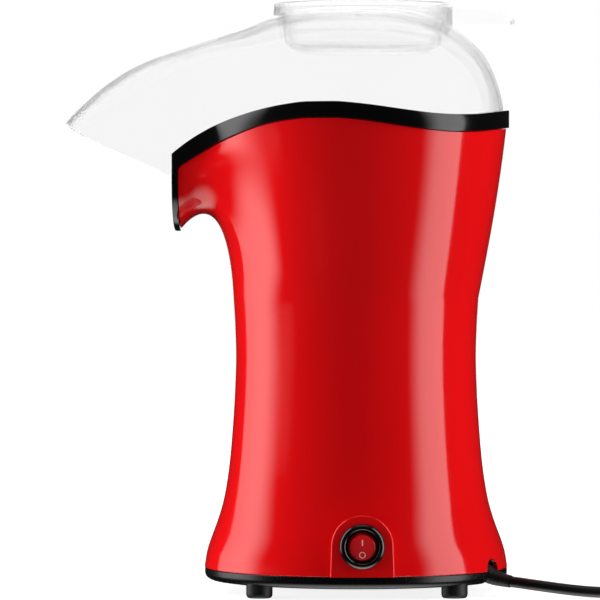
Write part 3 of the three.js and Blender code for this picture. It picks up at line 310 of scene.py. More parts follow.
def boolean(ob, tools, operation="DIFFERENCE"):
    """cuts or joins closed meshes; the tools are removed afterwards"""
    for tool in tools:
        mod = ob.modifiers.new("b", "BOOLEAN")
        mod.operation, mod.object = operation, tool
        mod.solver = "EXACT"
        dg = bpy.context.evaluated_depsgraph_get()
        me = bpy.data.meshes.new_from_object(ob.evaluated_get(dg))
        ob.modifiers.remove(mod)
        ob.data = me
        bpy.data.objects.remove(tool)
    return ob


def box_data(x0, x1, y0, y1, z0, z1):
    v = [(x, y, z) for x in (x0, x1) for y in (y0, y1) for z in (z0, z1)]
    return v, [(0, 1, 3, 2), (4, 6, 7, 5), (0, 4, 5, 1), (2, 3, 7, 6), (0, 2, 6, 4), (1, 5, 7, 3)]


def monotone(points):
    """monotone cubic through points with rising x, vectorised"""
    x = np.array([p[0] for p in points], float)
    y = np.array([p[1] for p in points], float)
    h = np.diff(x)
    d = np.diff(y) / h
    m = np.zeros(len(x))
    m[0], m[-1] = d[0], d[-1]
    for i in range(1, len(x) - 1):
        if d[i - 1] * d[i] > 0:
            w1, w2 = 2 * h[i] + h[i - 1], h[i] + 2 * h[i - 1]
            m[i] = (w1 + w2) / (w1 / d[i - 1] + w2 / d[i])

    def f(q):
        q = np.clip(np.asarray(q, float), x[0], x[-1])
        i = np.clip(np.searchsorted(x, q, side="left") - 1, 0, len(h) - 1)
        t = (q - x[i]) / h[i]
        t2, t3 = t * t, t * t * t
        return ((2 * t3 - 3 * t2 + 1) * y[i] + (t3 - 2 * t2 + t) * h[i] * m[i]
                + (-2 * t3 + 3 * t2) * y[i + 1] + (t3 - t2) * h[i] * m[i + 1])
    return f


def catmull(points, per=24):
    """centripetal Catmull-Rom through the points"""
    p = np.array(points, float)
    p = np.vstack([2 * p[0] - p[1], p, 2 * p[-1] - p[-2]])
    out = []
    for i in range(1, len(p) - 2):
        a, b, c, d = p[i - 1], p[i], p[i + 1], p[i + 2]
        k0, k1, k2 = (max(1e-4, np.linalg.norm(q) ** 0.5) for q in (b - a, c - b, d - c))
        t1 = ((b - a) / k0 - (c - a) / (k0 + k1) + (c - b) / k1) * k1
        t2 = ((c - b) / k1 - (d - b) / (k1 + k2) + (d - c) / k2) * k1
        for j in range(per):
            t = j / per
            out.append(b * (2 * t**3 - 3 * t**2 + 1) + c * (3 * t**2 - 2 * t**3) + t1 * (t**3 - 2 * t**2 + t) + t2 * (t**3 - t**2))
    out.append(p[-2])
    return np.array(out)


def along(points):
    s = np.concatenate([[0], np.cumsum(np.linalg.norm(np.diff(points, axis=0), axis=1))])
    return lambda q: np.array([np.interp(q, s, points[:, k]) for k in range(points.shape[1])]).T, s[-1]


def unit(v):
    n = np.linalg.norm(v, axis=-1, keepdims=True)
    return v / np.where(n < 1e-12, 1, n)


def frames(path):
    """rotation-minimising frames along a polyline"""
    t = unit(np.gradient(path, axis=0))
    n = np.cross(t[0], [0, 0, 1.0])
    n = unit(n if np.linalg.norm(n) > 1e-6 else np.array([1.0, 0, 0]))
    ns = [n]
    for i in range(1, len(path)):
        n = ns[-1] - t[i] * np.dot(ns[-1], t[i])
        ns.append(unit(n))
    ns = np.array(ns)
    return t, ns, np.cross(t, ns)


def tube(path, radii, seg=24, round0=0.0, round1=0.0):
    path = np.array(path, float)
    t, n, b = frames(path)
    a = np.linspace(0, 2 * np.pi, seg, endpoint=False)
    rows = [path[i] + radii[i] * (np.cos(a)[:, None] * n[i] + np.sin(a)[:, None] * b[i]) for i in range(len(path))]
    return skin(rows, cap0=True, cap1=True)


exit_dir = np.array([math.sin(rad(EXIT_ANGLE)), math.cos(rad(EXIT_ANGLE)), 0.0])


def exit_at(r, z):
    return (exit_dir[0] * r, exit_dir[1] * r, z)


# ------------------------------------------------------------------ mains lead
FLOOR_Z = CORD_D / 2 + 0.03
LAYER_2 = FLOOR_Z + math.sqrt(3) / 2 * CORD_D * 1.005


def lead_route():
    ro, ri = COIL_R + CORD_D, COIL_R - CORD_D
    lane = COIL_X + ro
    pts = [exit_at(86.8, 7.5), exit_at(90, 7.25), exit_at(93.6, 6.9), (43.3, 87.9, 6.45), (45.7, 96, 5.5), (47.3, 105, 4.35),
           (48.6, 115, 3.35), (lane, 126, FLOOR_Z), (lane, 137, FLOOR_Z), (lane, 149, FLOOR_Z), (lane, 160, FLOOR_Z)]

    def ease(a, b, t):
        return float(smooth((t - a) / (b - a)))
    for th in np.arange(0.0, 1530.5, 15.0):
        r = (ro + (COIL_R - ro) * ease(262, 336, th) + (ri - COIL_R) * ease(614, 690, th)
             + ((COIL_R - CORD_D / 2) - ri) * ease(962, 1030, th) + CORD_D * ease(1300, 1374, th))
        z = FLOOR_Z + (LAYER_2 - FLOOR_Z) * ease(925, 1000, th)
        pts.append((COIL_X + r * math.cos(rad(th)), COIL_Y + r * math.sin(rad(th)), z))
    yn = COIL_Y + COIL_R + CORD_D / 2
    pts += [(COIL_X - 8, yn + 0.9, LAYER_2 + 0.9), (COIL_X - 17, yn + 3.2, LAYER_2 + 0.9), (COIL_X - 26, yn + 5.4, LAYER_2 + 0.1),
            (COIL_X - 36.0, yn + 6.4, 7.2)]
    return np.array(pts)


route = place(lead_route())
curve = bpy.data.curves.new("mains_lead", "CURVE")
curve.dimensions = "3D"
sp = curve.splines.new("NURBS")
sp.points.add(len(route) - 1)
for q, p in zip(sp.points, route):
    q.co = (*p, 1.0)
sp.order_u = 4
sp.use_endpoint_u = True
sp.resolution_u = 4
curve.bevel_depth = CORD_D / 2 * 0.001
curve.bevel_resolution = 6
curve.use_fill_caps = True
lead = bpy.data.objects.new("mains_lead", curve)
bpy.context.scene.collection.objects.link(lead)
curve.materials.append(LEAD)
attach(lead, "root")
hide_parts("power_cord", "cord_coil", "cord_tail")

# moulded plug with two round pins
PLUG_X, PLUG_Y, PLUG_Z = COIL_X - 46.2, COIL_Y + COIL_R + CORD_D / 2 + 6.4, 7.2


def plug_mesh():
    # stations along x: half width, half height, corner power
    stations = [(10.0, 3.5, 3.5, 2.0), (9.5, 3.8, 3.65, 2.0), (7.0, 4.1, 3.8, 2.0), (6.6, 3.6, 3.4, 2.0), (5.9, 3.6, 3.4, 2.0), (5.5, 4.4, 4.0, 2.0),
                (3.0, 4.7, 4.2, 2.1), (2.6, 4.1, 3.8, 2.1), (1.9, 4.1, 3.8, 2.1), (1.5, 5.0, 4.4, 2.2), (-1.0, 6.3, 4.8, 2.3),
                (-3.2, 9.0, 5.3, 2.6), (-5.0, 11.3, 5.9, 3.0), (-7.5, 12.6, 6.5, 3.4), (-10.0, 13.0, 6.95, 3.8), (-13, 13.1, 7.05, 4.2),
                (-20.0, 13.3, 7.08, 4.6), (-25.6, 13.5, 7.08, 4.8), (-26.5, 13.35, 6.95, 4.8), (-27.0, 12.9, 6.5, 4.8)]
    a = np.linspace(0, 2 * np.pi, 64, endpoint=False)
    rows = []
    for x, hw, hh, n in stations:
        c, s = np.cos(a), np.sin(a)
        rows.append(np.stack([np.full_like(a, PLUG_X + x), PLUG_Y + hw * np.sign(c) * np.abs(c) ** (2 / n),
                              PLUG_Z + hh * np.sign(s) * np.abs(s) ** (2 / n)], 1))
    return skin(rows, cap0=True, cap1=True)


plug = build("mains_plug", plug_mesh(), LEAD, "root", ("plug_body",), sharp=40)


def tie_mesh():
    # a strap over the bundle: outline in (radius, z), swept across its width
    ri, ro = COIL_R - 1.5 * CORD_D, COIL_R + 1.5 * CORD_D
    top = LAYER_2 + CORD_D / 2
    inner = catmull([(ri - 0.45, 0.06), (ri - 0.45, 3.5), (ri + 0.6, 6.6), (ri + 2.9, top - 0.6), (ri + 5.5, top + 0.42), (COIL_R, top + 0.42),
                     (ro - 5.5, top + 0.42), (ro - 2.9, top - 0.6), (ro - 0.6, 6.6), (ro + 0.45, 3.5), (ro + 0.45, 0.06)], 6)
    t = unit(np.gradient(inner, axis=0))
    outer = inner + np.stack([-t[:, 1], t[:, 0]], 1) * 1.0
    outer[0], outer[-1] = (ri - 1.45, 0.06), (ro + 1.45, 0.06)
    loop = np.vstack([inner, outer[::-1]])
    ca, sa = math.cos(rad(140)), math.sin(rad(140))
    rows = []
    for x, sh in ((-3.0, 0.12), (-2.8, 0.0), (2.8, 0.0), (3.0, 0.12)):
        mid = (inner + outer) / 2
        lp = np.vstack([lerp(inner, mid, sh), lerp(outer, mid, sh)[::-1]])
        rows.append([(COIL_X + x * ca - r * sa, COIL_Y + x * sa + r * ca, z) for r, z in lp])
    return skin(rows, cap0=True, cap1=True)


tie = build("lead_tie", tie_mesh(), RUBBER, "root", ("cord_tie",), sharp=35)

# ------------------------------------------------------------------ rim stations
# p: outer upper edge of the band, n: inward, up: from the band's lower to its upper edge, hb: its height
rim_top, rim_bottom, body_r = monotone(RIM_TOP), monotone(RIM_BOTTOM), monotone(BODY)
plan = catmull([(-20, 75.7)] + RIM_PLAN, 60)
plan = plan[plan[:, 0] >= -1e-9]
plan_at, plan_len = along(plan)
lip_line = catmull([*LIP, (-15.5, -92.6, 185.9)], 60)
lip_line = lip_line[: int(np.argmax(lip_line[:, 0] < 0)) or len(lip_line)]
lip_at, lip_len = along(lip_line)
CORNER_LOW = np.array([36.0, -93.3 + LIP_DEPTH, 223.1 - 7.2])


def ring_station(f, fan=True):
    s = f * plan_len
    q = plan_at(s)
    t = plan_at(min(s + 0.2, plan_len)) - plan_at(max(s - 0.2, 0))
    t = t / np.linalg.norm(t)
    n = np.array([t[1], -t[0], 0.0])
    if np.dot(n, [-q[0], -q[1], 0]) < 0:
        n = -n
    if f == 0:
        q, n = np.array([0.0, 78.2]), np.array([0, -1.0, 0])
    zt, zb = float(rim_top(q[1])), float(rim_bottom(q[1]))
    p = np.array([q[0], q[1], zt])
    if fan and q[1] < CORNER_LOW[1]:
        d = p - CORNER_LOW
        return dict(p=p, n=np.array([-1.0, 0, 0]), up=d / np.linalg.norm(d), hb=float(np.linalg.norm(d)), lip=0.0, corner=True, c=RING_LAST * f)
    return dict(p=p, n=n, up=np.array([0, 0, 1.0]), hb=zt - zb, lip=0.0, corner=False, c=RING_LAST * f)


def lip_station(f, fan=True):
    s = f * lip_len
    q = lip_at(s)
    t = lip_at(min(s + 0.2, lip_len)) - lip_at(max(s - 0.2, 0))
    t = t / np.linalg.norm(t)
    n = np.array([t[2], 0.0, -t[0]])
    n = n / np.linalg.norm(n)
    if n[0] > 0:
        n = -n
    if f >= 1:
        q, n = np.array([0.0, q[1], q[2]]), np.array([0, 0, 1.0])
    if fan and q[2] > CORNER_LOW[2]:
        d = q - CORNER_LOW
        return dict(p=q, n=np.array([-1.0, 0, 0]), up=d / np.linalg.norm(d), hb=float(np.linalg.norm(d)), lip=max(f, 1e-4), corner=True,
                    c=RING_LAST + LIP_STEPS * f)
    return dict(p=q, n=n, up=np.array([0, -1.0, 0]), hb=LIP_DEPTH, lip=f, corner=False, c=RING_LAST + LIP_STEPS * f)


def mirror_station(s):
    m = np.array([-1.0, 1, 1])
    return {**s, "p": s["p"] * m, "n": s["n"] * m, "up": s["up"] * m}


def at(s, down, inward):
    return s["p"] - s["up"] * down + s["n"] * inward


def around(half):
    """the whole loop from a half one that starts at the back and ends at the bottom of the lip"""
    return half + [mirror_station(s) for s in half[1:-1][::-1]]


_polar = [math.atan2(*(lambda p: (p[0], -p[1]))(ring_station(k / RING_LAST, False)["p"])) for k in range(RING_LAST)]
_polar += [math.atan2(36.0, 93.3)] + [math.atan2(lip_station(k / LIP_STEPS)["p"][0], 94.0) for k in range(1, LIP_STEPS + 1)]
_first = next(i for i, a in enumerate(_polar) if a < rad(42) and i > 3)
_knots = [(i, _polar[i] if i < _first else rad(42) * (RING_LAST + LIP_STEPS - i) / (RING_LAST + LIP_STEPS + 1 - _first))
          for i in range(RING_LAST + LIP_STEPS + 1)]
_knots[0] = (0, math.pi)
column_angle = monotone(_knots)


def column_point(angle, z, inset=0.0):
    r = float(body_r(z))
    return np.array([(r * OVAL - inset) * math.sin(angle), -(r - inset) * math.cos(angle), z])


def casing_curve(s, turn):
    """control points of the flare under one station; turn goes from 0 (wall runs up) to 1 (wall runs forward)"""
    angle = float(column_angle(s["c"]))
    p0 = column_point(angle, FLARE_Z)
    p1 = at(s, s["hb"] + GAP, 1.5)
    out = np.array([p0[0], p0[1], 0.0])
    out /= np.linalg.norm(out)
    nose = 1.0 if s["lip"] > 0 or s["corner"] else float(smooth((rad(50) - math.atan2(s["p"][0], -s["p"][1])) / rad(18)))
    t0 = (np.array([0, 0, 1.0]) + out * lerp(0.2, 0.055, nose)) * lerp(30, 45, nose)
    ring_flare = lerp(0.11, 0.06, nose)
    lip_flare = lerp(0.06, 1.2, float(smooth((s["lip"] - 0.3) / 0.7)))
    flare = lerp(ring_flare, lip_flare, turn)
    up = np.array([0, -math.sin(turn * math.pi / 2), math.cos(turn * math.pi / 2)])
    t1 = up - s["n"] * flare
    t1 = t1 / np.linalg.norm(t1) * lerp(lerp(30, 20, nose), 18.5, turn)
    return p0, p0 + t0, p1 - t1, p1


def bezier(c, t):
    t = np.asarray(t)[:, None]
    return c[0] * (1 - t) ** 3 + 3 * c[1] * t * (1 - t) ** 2 + 3 * c[2] * t * t * (1 - t) + c[3] * t**3


# ------------------------------------------------------------------ casing
def casing_half():
    half = [ring_station(f, False) for f in np.linspace(0, 1, 92)]
    half = [s for s in half if s["p"][1] > CORNER_LOW[1] + 0.6]
    lips = [lip_station(f, False) for f in np.linspace(0, 1, 40)]
    half += [s for s in lips if s["p"][2] < CORNER_LOW[2] - 0.6]
    return half


c_half = casing_half()
edge = np.array([at(s, s["hb"] + GAP, 1.5) for s in c_half])
edge_s = np.concatenate([[0], np.cumsum(np.linalg.norm(np.diff(edge, axis=0), axis=1))])
first_lip = next(i for i, s in enumerate(c_half) if s["lip"] > 0)
corner_s = (edge_s[first_lip] + edge_s[first_lip - 1]) / 2
turns = smooth((edge_s - corner_s + 16) / 30.0)
col_z = np.concatenate([[12.5, 12.7, 13.1, 13.8], np.linspace(15.2, 150, 50)[:-1]])
fl_t = np.linspace(0, 1, 44)
columns = []
for s, tn in zip(c_half, turns):
    a = float(column_angle(s["c"]))
    lower = np.array([column_point(a, z) for z in col_z])
    columns.append(np.vstack([lower, bezier(casing_curve(s, float(tn)), fl_t)]))
columns = np.array(columns)
# the sideways run of the nose is relaxed a little, so that its side and front flow into each other
n_col = len(col_z)
for _ in range(60):
    c2 = columns.copy()
    w = 0.5 * smooth((np.arange(len(c_half)) - (first_lip - 26)) / 12.0)[1:-1, None, None]
    band = smooth(np.arange(columns.shape[1] - n_col) / 8.0) * (1 - smooth((np.arange(columns.shape[1] - n_col) - (len(fl_t) - 10)) / 8.0))
    c2[1:-1, n_col:] += w * band[None, :, None] * ((columns[:-2, n_col:] + columns[2:, n_col:]) / 2 - columns[1:-1, n_col:])
    columns = c2
mirror = np.array([-1.0, 1, 1])
outer = np.concatenate([columns, columns[1:-1][::-1] * mirror])
outer[0, :, 0] = 0
outer[len(c_half) - 1, :, 0] = 0
c_all = around(c_half)


def grid_normals(g):
    """normals of a grid closed along its first axis"""
    du = np.roll(g, -1, axis=0) - np.roll(g, 1, axis=0)
    dv = np.gradient(g, axis=1)
    return unit(np.cross(du, dv))


nrm = grid_normals(outer)
mid_line = np.zeros_like(outer)
mid_line[..., 2] = outer[..., 2] + 25
if np.sum(nrm[:, 20] * (mid_line - outer)[:, 20]) < 0:
    nrm = -nrm
lipness = np.array([s["lip"] for s in c_all])
inner = outer + nrm * lerp(WALL, 1.6, np.clip(lipness, 0, 1))[:, None, None]
inner[:, :n_col, 2] = outer[:, :n_col, 2]
for k, s in enumerate(c_all):
    inner[k, -1] = outer[k, -1] + s["n"] * lerp(WALL, 1.5, s["lip"])
# a hairline radius on the lower edge
outer[:, 0] += (nrm[:, 0] * 0.35)
outer[:, 1] += (nrm[:, 1] * 0.12)
loop = np.concatenate([outer, inner[:, ::-1]], axis=1)          # stations x section
casing = build("casing_shell", skin(np.transpose(loop, (1, 0, 2)), close_v=True), RED)


def arch(half_width, top, bottom, flare=0.0, seg=48):
    pts = [(PAD_Y - half_width - flare, bottom)]
    n_side = 10
    for i in range(1, n_side):
        t = i / n_side
        pts.append((PAD_Y - half_width - flare * (1 - t), lerp(bottom, top - half_width, t)))
    for i in range(seg + 1):
        a = math.pi - math.pi * i / seg
        pts.append((PAD_Y + half_width * math.cos(a), top - half_width + half_width * math.sin(a)))
    for i in range(n_side - 1, 0, -1):
        t = i / n_side
        pts.append((PAD_Y + half_width + flare * (1 - t), lerp(bottom, top - half_width, t)))
    pts.append((PAD_Y + half_width + flare, bottom))
    return pts


def arch_prism(rows):
    """rows of (x, inset) swept from an arch"""
    out = []
    for x, inset, top, half_width, bottom in rows:
        out.append([(x, y, z) for y, z in arch(half_width - inset, top - inset, bottom, 0.5)])
    return skin(out, cap0=True, cap1=True)


PAD_ROUND = 1.05
pad_rows = [(60.0, 0, PAD_TOP, PAD_HALF, 12.5), (PAD_X - PAD_ROUND, 0, PAD_TOP, PAD_HALF, 12.5)]
for i in range(1, 6):
    a = math.pi / 2 * i / 5
    pad_rows.append((PAD_X - PAD_ROUND + PAD_ROUND * math.sin(a), PAD_ROUND * (1 - math.cos(a)), PAD_TOP, PAD_HALF, 12.5))
pad_tool = build("pad_tool", arch_prism(pad_rows), RED)
boolean(casing, [pad_tool], "UNION")
hollow = build("hollow_tool", arch_prism([(58.0, 0, PAD_TOP - 2.2, PAD_HALF - 2.2, 8.0), (PAD_X - 2.4, 0, PAD_TOP - 2.2, PAD_HALF - 2.2, 8.0)]), RED)
hole_verts, hole_faces = lathe([(0, 60), (SWITCH_BODY_R + 0.4, 60), (SWITCH_BODY_R + 0.4, 80), (0, 80)], 64,
                               about=lambda v: np.stack([v[:, 2], v[:, 1] + SWITCH_Y, -v[:, 0] + SWITCH_Z], 1))
hole = build("hole_tool", (hole_verts, hole_faces), RED)
floor_cut = build("floor_tool", lathe([(0, 8), (74.4, 8), (74.4, 15), (0, 15)], 128, scale=(OVAL, 1, 1)), RED)


def notch_tool(name, half_width, zc, z0, r0, r1, seg=32):
    pts = [(-half_width, z0)] + [(half_width * math.cos(math.pi - math.pi * i / seg), zc + half_width * math.sin(math.pi * i / seg)) for i in range(seg + 1)] + [(half_width, z0)]
    side = np.array([exit_dir[1], -exit_dir[0], 0.0])
    rows = [[tuple(exit_dir * r + side * x + np.array([0, 0, z])) for x, z in pts] for r in (r0, r1)]
    return build(name, skin(rows, cap0=True, cap1=True), None)


notch = notch_tool("notch_tool", 5.9, 12.9, 5.0, 64.5, 84.0)
boolean(casing, [hollow, hole, floor_cut, notch])
casing.data.materials.clear()
casing.data.materials.append(RED)
soften(casing, 28)
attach(casing, "root")
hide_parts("casing")

# ------------------------------------------------------------------ chute deck with rim band and lip
d_half = [ring_station(f) for f in np.linspace(0, 1, 86)]
d_half[-1] = {**d_half[-1], "p": np.array([36.0, -93.3, 223.1])}
d_half += [lip_station(f) for f in np.linspace(0, 1, 46)[1:]]
d_all = around(d_half)
nd = len(d_half)


def hole_angle(k):
    i = k if k < nd else 2 * (nd - 1) - k
    a = float(column_angle(d_half[i]["c"]))
    return (a, 1) if k < nd else (a, -1)


def shelf(s):
    if s["lip"] > 0 and not s["corner"]:
        return lerp(3.1, 6, float(smooth(s["lip"])))
    if s["corner"]:
        return 3.6
    return lerp(3.6, 5.3, float(smooth((s["p"][1] + 92) / 14)))


def skirt(s):
    if s["lip"] > 0:
        return 0.4
    return 0.8 if s["corner"] else 4 * float(smooth((s["p"][1] + 92) / 22)) + 0.6


E = 0.45
rows = [[at(s, 0, E) for s in d_all], [at(s, 0, 2.2) for s in d_all], [at(s, 0.12, 2.5) for s in d_all], [at(s, 0.5, 2.6) for s in d_all],
        [at(s, s["hb"] * 0.6, 2.6) for s in d_all]]
ledge = np.array([at(s, s["hb"] * 0.6, shelf(s)) for s in d_all])
rows.append(ledge)


def ring_row(r, z):
    return np.array([(sd * r * math.sin(a), -r * math.cos(a), z) for a, sd in (hole_angle(k) for k in range(len(d_all)))])


hole_row = ring_row(HOLE_R, HOLE_Z)
tt = np.concatenate([np.linspace(0, 1, 22)[1:-1]])
is_lip = np.array([s["lip"] > 0 for s in d_all])
blend_lip = np.array([float(smooth((s["c"] - 13.5) / 3.0)) for s in d_all])
funnel = []
for t in tt:
    row = ledge * (1 - t) + hole_row * t
    lift = lerp(1 - (1 - t) ** 1.5, t, blend_lip)
    row[:, 2] = ledge[:, 2] + (hole_row[:, 2] - ledge[:, 2]) * lift
    funnel.append(row)
rows += funnel
rows.append(ring_row(HOLE_R + 0.35, HOLE_Z - 0.02))
rows.append(ring_row(HOLE_R, HOLE_Z - 0.4))
rows += [ring_row(HOLE_R, 219.6), ring_row(HOLE_R + 1.8, 219.6), ring_row(HOLE_R + 1.8, HOLE_Z - 2.6)]
surf = np.transpose(np.array([ledge, *funnel, hole_row]), (1, 0, 2))
dn = grid_normals(surf)
if np.sum(dn[..., 2]) > 0:
    dn = -dn
under = surf + dn * lerp(2.0, 1.6, blend_lip)[:, None, None]
for j in list(range(surf.shape[1] - 2, 2, -2)):
    rows.append(under[:, j])
rows.append([at(s, s["hb"] * (0.98 if s["lip"] > 0 else 0.9), shelf(s) + (1.0 if s["lip"] > 0 else 1.4)) for s in d_all])
rows.append([at(s, s["hb"] + skirt(s), shelf(s) + (0.8 if s["lip"] > 0 else 1.6)) for s in d_all])
rows.append([at(s, s["hb"] + skirt(s), lerp(3.6, 4.4, s["lip"]) if s["lip"] > 0 else lerp(3.6, 4.9, float(smooth((s["p"][1] + 92) / 14)))) for s in d_all])
rows.append([at(s, s["hb"], lerp(3.4, 3.9, s["lip"]) if s["lip"] > 0 else lerp(3.4, 4.1, float(smooth((s["p"][1] + 92) / 14)))) for s in d_all])
rows += [[at(s, s["hb"], 0.4) for s in d_all], [at(s, s["hb"] - 0.12, 0.1) for s in d_all], [at(s, s["hb"] - 0.4, 0) for s in d_all],
         [at(s, E, 0) for s in d_all], [at(s, E * 0.3, E * 0.3) for s in d_all]]
deck = build("chute_deck_rim", skin(rows, close_v=True), RIM, "root", ("chute_deck",), sharp=34)

# ------------------------------------------------------------------ clear hood
crown, mouth = monotone(CROWN), monotone(MOUTH)
ring_in = []
for f in np.linspace(0, 1, 120):
    s = ring_station(float(f), False)
    q = at(s, 0, 2.9)
    if q[1] > -78:
        ring_in.append((max(0.0, q[0]), q[1], s["p"][2] - s["hb"] * 0.6 + GAP))
ring_in = ring_in[::-1]
front = catmull([(-y_x[1], y_x[0]) for y_x in [(HOOD_HALF[1][0], HOOD_HALF[1][1])]] + [(x, y) for y, x in HOOD_HALF] + [ring_in[0][:2], ring_in[8][:2]], 20)
front = front[20:]
front = front[front[:, 0] >= -1e-6]
front = front[: int(np.argmax(front[:, 1] >= ring_in[0][1] - 0.01))]
low_pts = [(y, z) for y, z in MOUTH] + [(q[1], q[2]) for q in ring_in[::6] if q[1] > -84] + [(ring_in[-1][1] + 1e-3, ring_in[-1][2])]
hood_low = monotone(low_pts)
edge_half = [(x, y, float(hood_low(y))) for x, y in front] + [(x, y, z) for x, y, z in ring_in]
edge_half = np.array(edge_half)
edge_half[0] = (0.0, HOOD_HALF[0][0], 238.6)
edge_half[-1, 0] = 0.0
ev, el = along(edge_half)
edge_half = ev(np.linspace(0, el, 130))
edge_half[0, 0] = edge_half[-1, 0] = 0.0
keep = np.concatenate([[True], np.diff(edge_half[:, 1]) > 1e-4])
wy, wx = edge_half[keep, 1], edge_half[keep, 0]


def hood_width(y):
    return np.maximum(0.5, np.interp(y, wy, wx))


def hood_height(x, y):
    w = hood_width(y)
    q = np.clip(np.abs(x) / w, 0, 1)
    n = lerp(2.6, 3.8, smooth((np.asarray(y) + 130) / 60))
    zc, zb = crown(y), hood_low(y)
    return zb + (zc - zb) * np.maximum(0, 1 - q**n) ** (1 / n)


edge_all = np.vstack([edge_half, edge_half[1:-1][::-1] * mirror])
hood_cols, hood_dirs = [], []
ROWS_IN = np.concatenate([np.linspace(0, 1, 46)])
for e in edge_all:
    d = np.array([e[0], e[1] - CUP_Y, 0.0])
    length = np.linalg.norm(d)
    d /= length
    f = np.linspace(0, 1, 400)
    r = lerp(COLLAR_OUT, length, 1 - (1 - f) ** 2.4)
    x, y = d[0] * r, CUP_Y + d[1] * r
    z = hood_height(x, y)
    pts = np.stack([x, y, z], 1)
    pts[-1] = e
    pa, pl = along(pts)
    s = ROWS_IN * (pl - 9.5)
    s = np.concatenate([s, pl - np.array([8.6, 7.9, 7.5, 7.1, 6.7, 6.0, 4.5, 3.0, 1.8, 1.0, 0.5, 0.2, 0.0])])
    hood_cols.append(pa(s))
    hood_dirs.append(d)
hood_cols, hood_dirs = np.array(hood_cols), np.array(hood_dirs)
for _ in range(3):           # relax around the body, so the beak and dome flow together
    c2 = hood_cols.copy()
    c2[:, 2:-13] += 0.5 * ((np.roll(hood_cols, 1, 0) + np.roll(hood_cols, -1, 0)) / 2 - hood_cols)[:, 2:-13]
    hood_cols = c2
hn = grid_normals(hood_cols)
centre = np.array([0, CUP_Y - 20.0, 215.0])
if np.sum(hn * (centre - hood_cols)) < 0:
    hn = -hn
inner_h = hood_cols + hn * HOOD_T
last = hood_cols[:, -1]
tl = unit((np.roll(last, -1, 0) - np.roll(last, 1, 0)) * np.array([1, 1, 0]))
ln = np.stack([tl[:, 1], -tl[:, 0], np.zeros(len(tl))], 1)
ln[np.sum(ln * hood_dirs, 1) > 0] *= -1
inner_h[:, -1] = last + ln * HOOD_T
for j, wgt in ((-2, 0.8), (-3, 0.6), (-4, 0.4), (-5, 0.2)):
    inner_h[:, j] = lerp(hood_cols[:, j] + hn[:, j] * HOOD_T, hood_cols[:, j] + ln * HOOD_T, wgt)
inner_h[:, 0] = np.stack([hood_dirs[:, 0] * COLLAR_IN, CUP_Y + hood_dirs[:, 1] * COLLAR_IN, hood_cols[:, 0, 2] - HOOD_T], 1)
inner_h[:, 1, 2] = np.minimum(inner_h[:, 1, 2], hood_cols[:, 1, 2] - HOOD_T * 0.9)
# a shallow groove sets off the reinforced band along the mouth
beak = smooth((-(edge_all[:, 1]) - 96) / 6.0)
g = hood_cols.shape[1]
for j, amount in ((g - 11, 0.22), (g - 10, 0.4), (g - 9, 0.22)):
    hood_cols[:, j] += hn[:, j] * (amount * beak)[:, None]
collar = []
for r, z in ((COLLAR_IN, COLLAR_TOP - 0.3), (COLLAR_IN + 0.3, COLLAR_TOP), (COLLAR_OUT - 0.3, COLLAR_TOP), (COLLAR_OUT, COLLAR_TOP - 0.3)):
    collar.append(np.stack([hood_dirs[:, 0] * r, CUP_Y + hood_dirs[:, 1] * r, np.full(len(hood_dirs), z)], 1))
first = hood_cols[:, 0].copy()
first[:, 2] = np.minimum(first[:, 2], COLLAR_TOP - 0.6)
h_rows = collar + [first] + [hood_cols[:, j] for j in range(1, g)] + [inner_h[:, j] for j in range(g - 1, -1, -1)]
hood_mesh = Mesh()
hood_mesh.add(*skin(h_rows, close_v=True))


def ridge(side):
    """a slim raised bead along the top of the beak, round at its rear end"""
    line = monotone([(-124, 258.8), (-122.4, 259.6), (-104.7, 270), (-89.4, 274.8), (-70.2, 280.1), (-68, 280.7)])
    rows_r = []
    for y in np.concatenate([np.linspace(-123.5, -72, 60), [-71.2, -70.6, -70.2, -70.0]]):
        k = float((y + 123.5) / 53.5)
        w = lerp(0.25, 1.5, k ** 1.3) * (1.0 if y < -71.8 else max(0.12, math.sqrt(max(0.0, 1 - ((y + 71.9) / 1.95) ** 2))))
        zz = float(line(y))
        xs = np.linspace(0, float(hood_width(y)), 400)
        hs = hood_height(xs, np.full_like(xs, y))
        i = int(np.argmin(np.abs(hs - zz - w / 2)))
        x, z = xs[i], hs[i]
        tx = unit(np.array([xs[min(i + 3, 399)] - xs[max(i - 3, 0)], hs[min(i + 3, 399)] - hs[max(i - 3, 0)]]))
        nx = np.array([-tx[1], tx[0]])
        ring = []
        for a in np.linspace(0, 2 * math.pi, 10, endpoint=False):
            o = tx * math.cos(a) * w * 0.75 + nx * (math.sin(a) * 0.38 * min(1, w / 0.8) - 0.05)
            ring.append((side * (x + o[0]), y, z + o[1]))
        rows_r.append(ring)
    return skin(rows_r, cap0=True, cap1=True)


for sd in (1, -1):
    hood_mesh.add(*ridge(sd))
hood = build("clear_hood", hood_mesh, CLEAR, "hood_part", ("hood",), sharp=38)

# ------------------------------------------------------------------ measuring cup
SEG = 144
cup_a = np.linspace(0, 2 * np.pi, SEG, endpoint=False)


def cup_ring(r, z):
    x, y = r * np.sin(cup_a), CUP_Y - r * np.cos(cup_a)
    zz = z(x, y) if callable(z) else np.full(SEG, float(z))
    return np.stack([x, y, zz], 1)


def skirt_low(x, y):
    return np.minimum(297.3, hood_height(x * 1.02, CUP_Y + (y - CUP_Y) * 1.02) + 0.5)


def cup_profile(points, per=6):
    return catmull([(r, z, 0) for r, z in points], per)[:, :2]


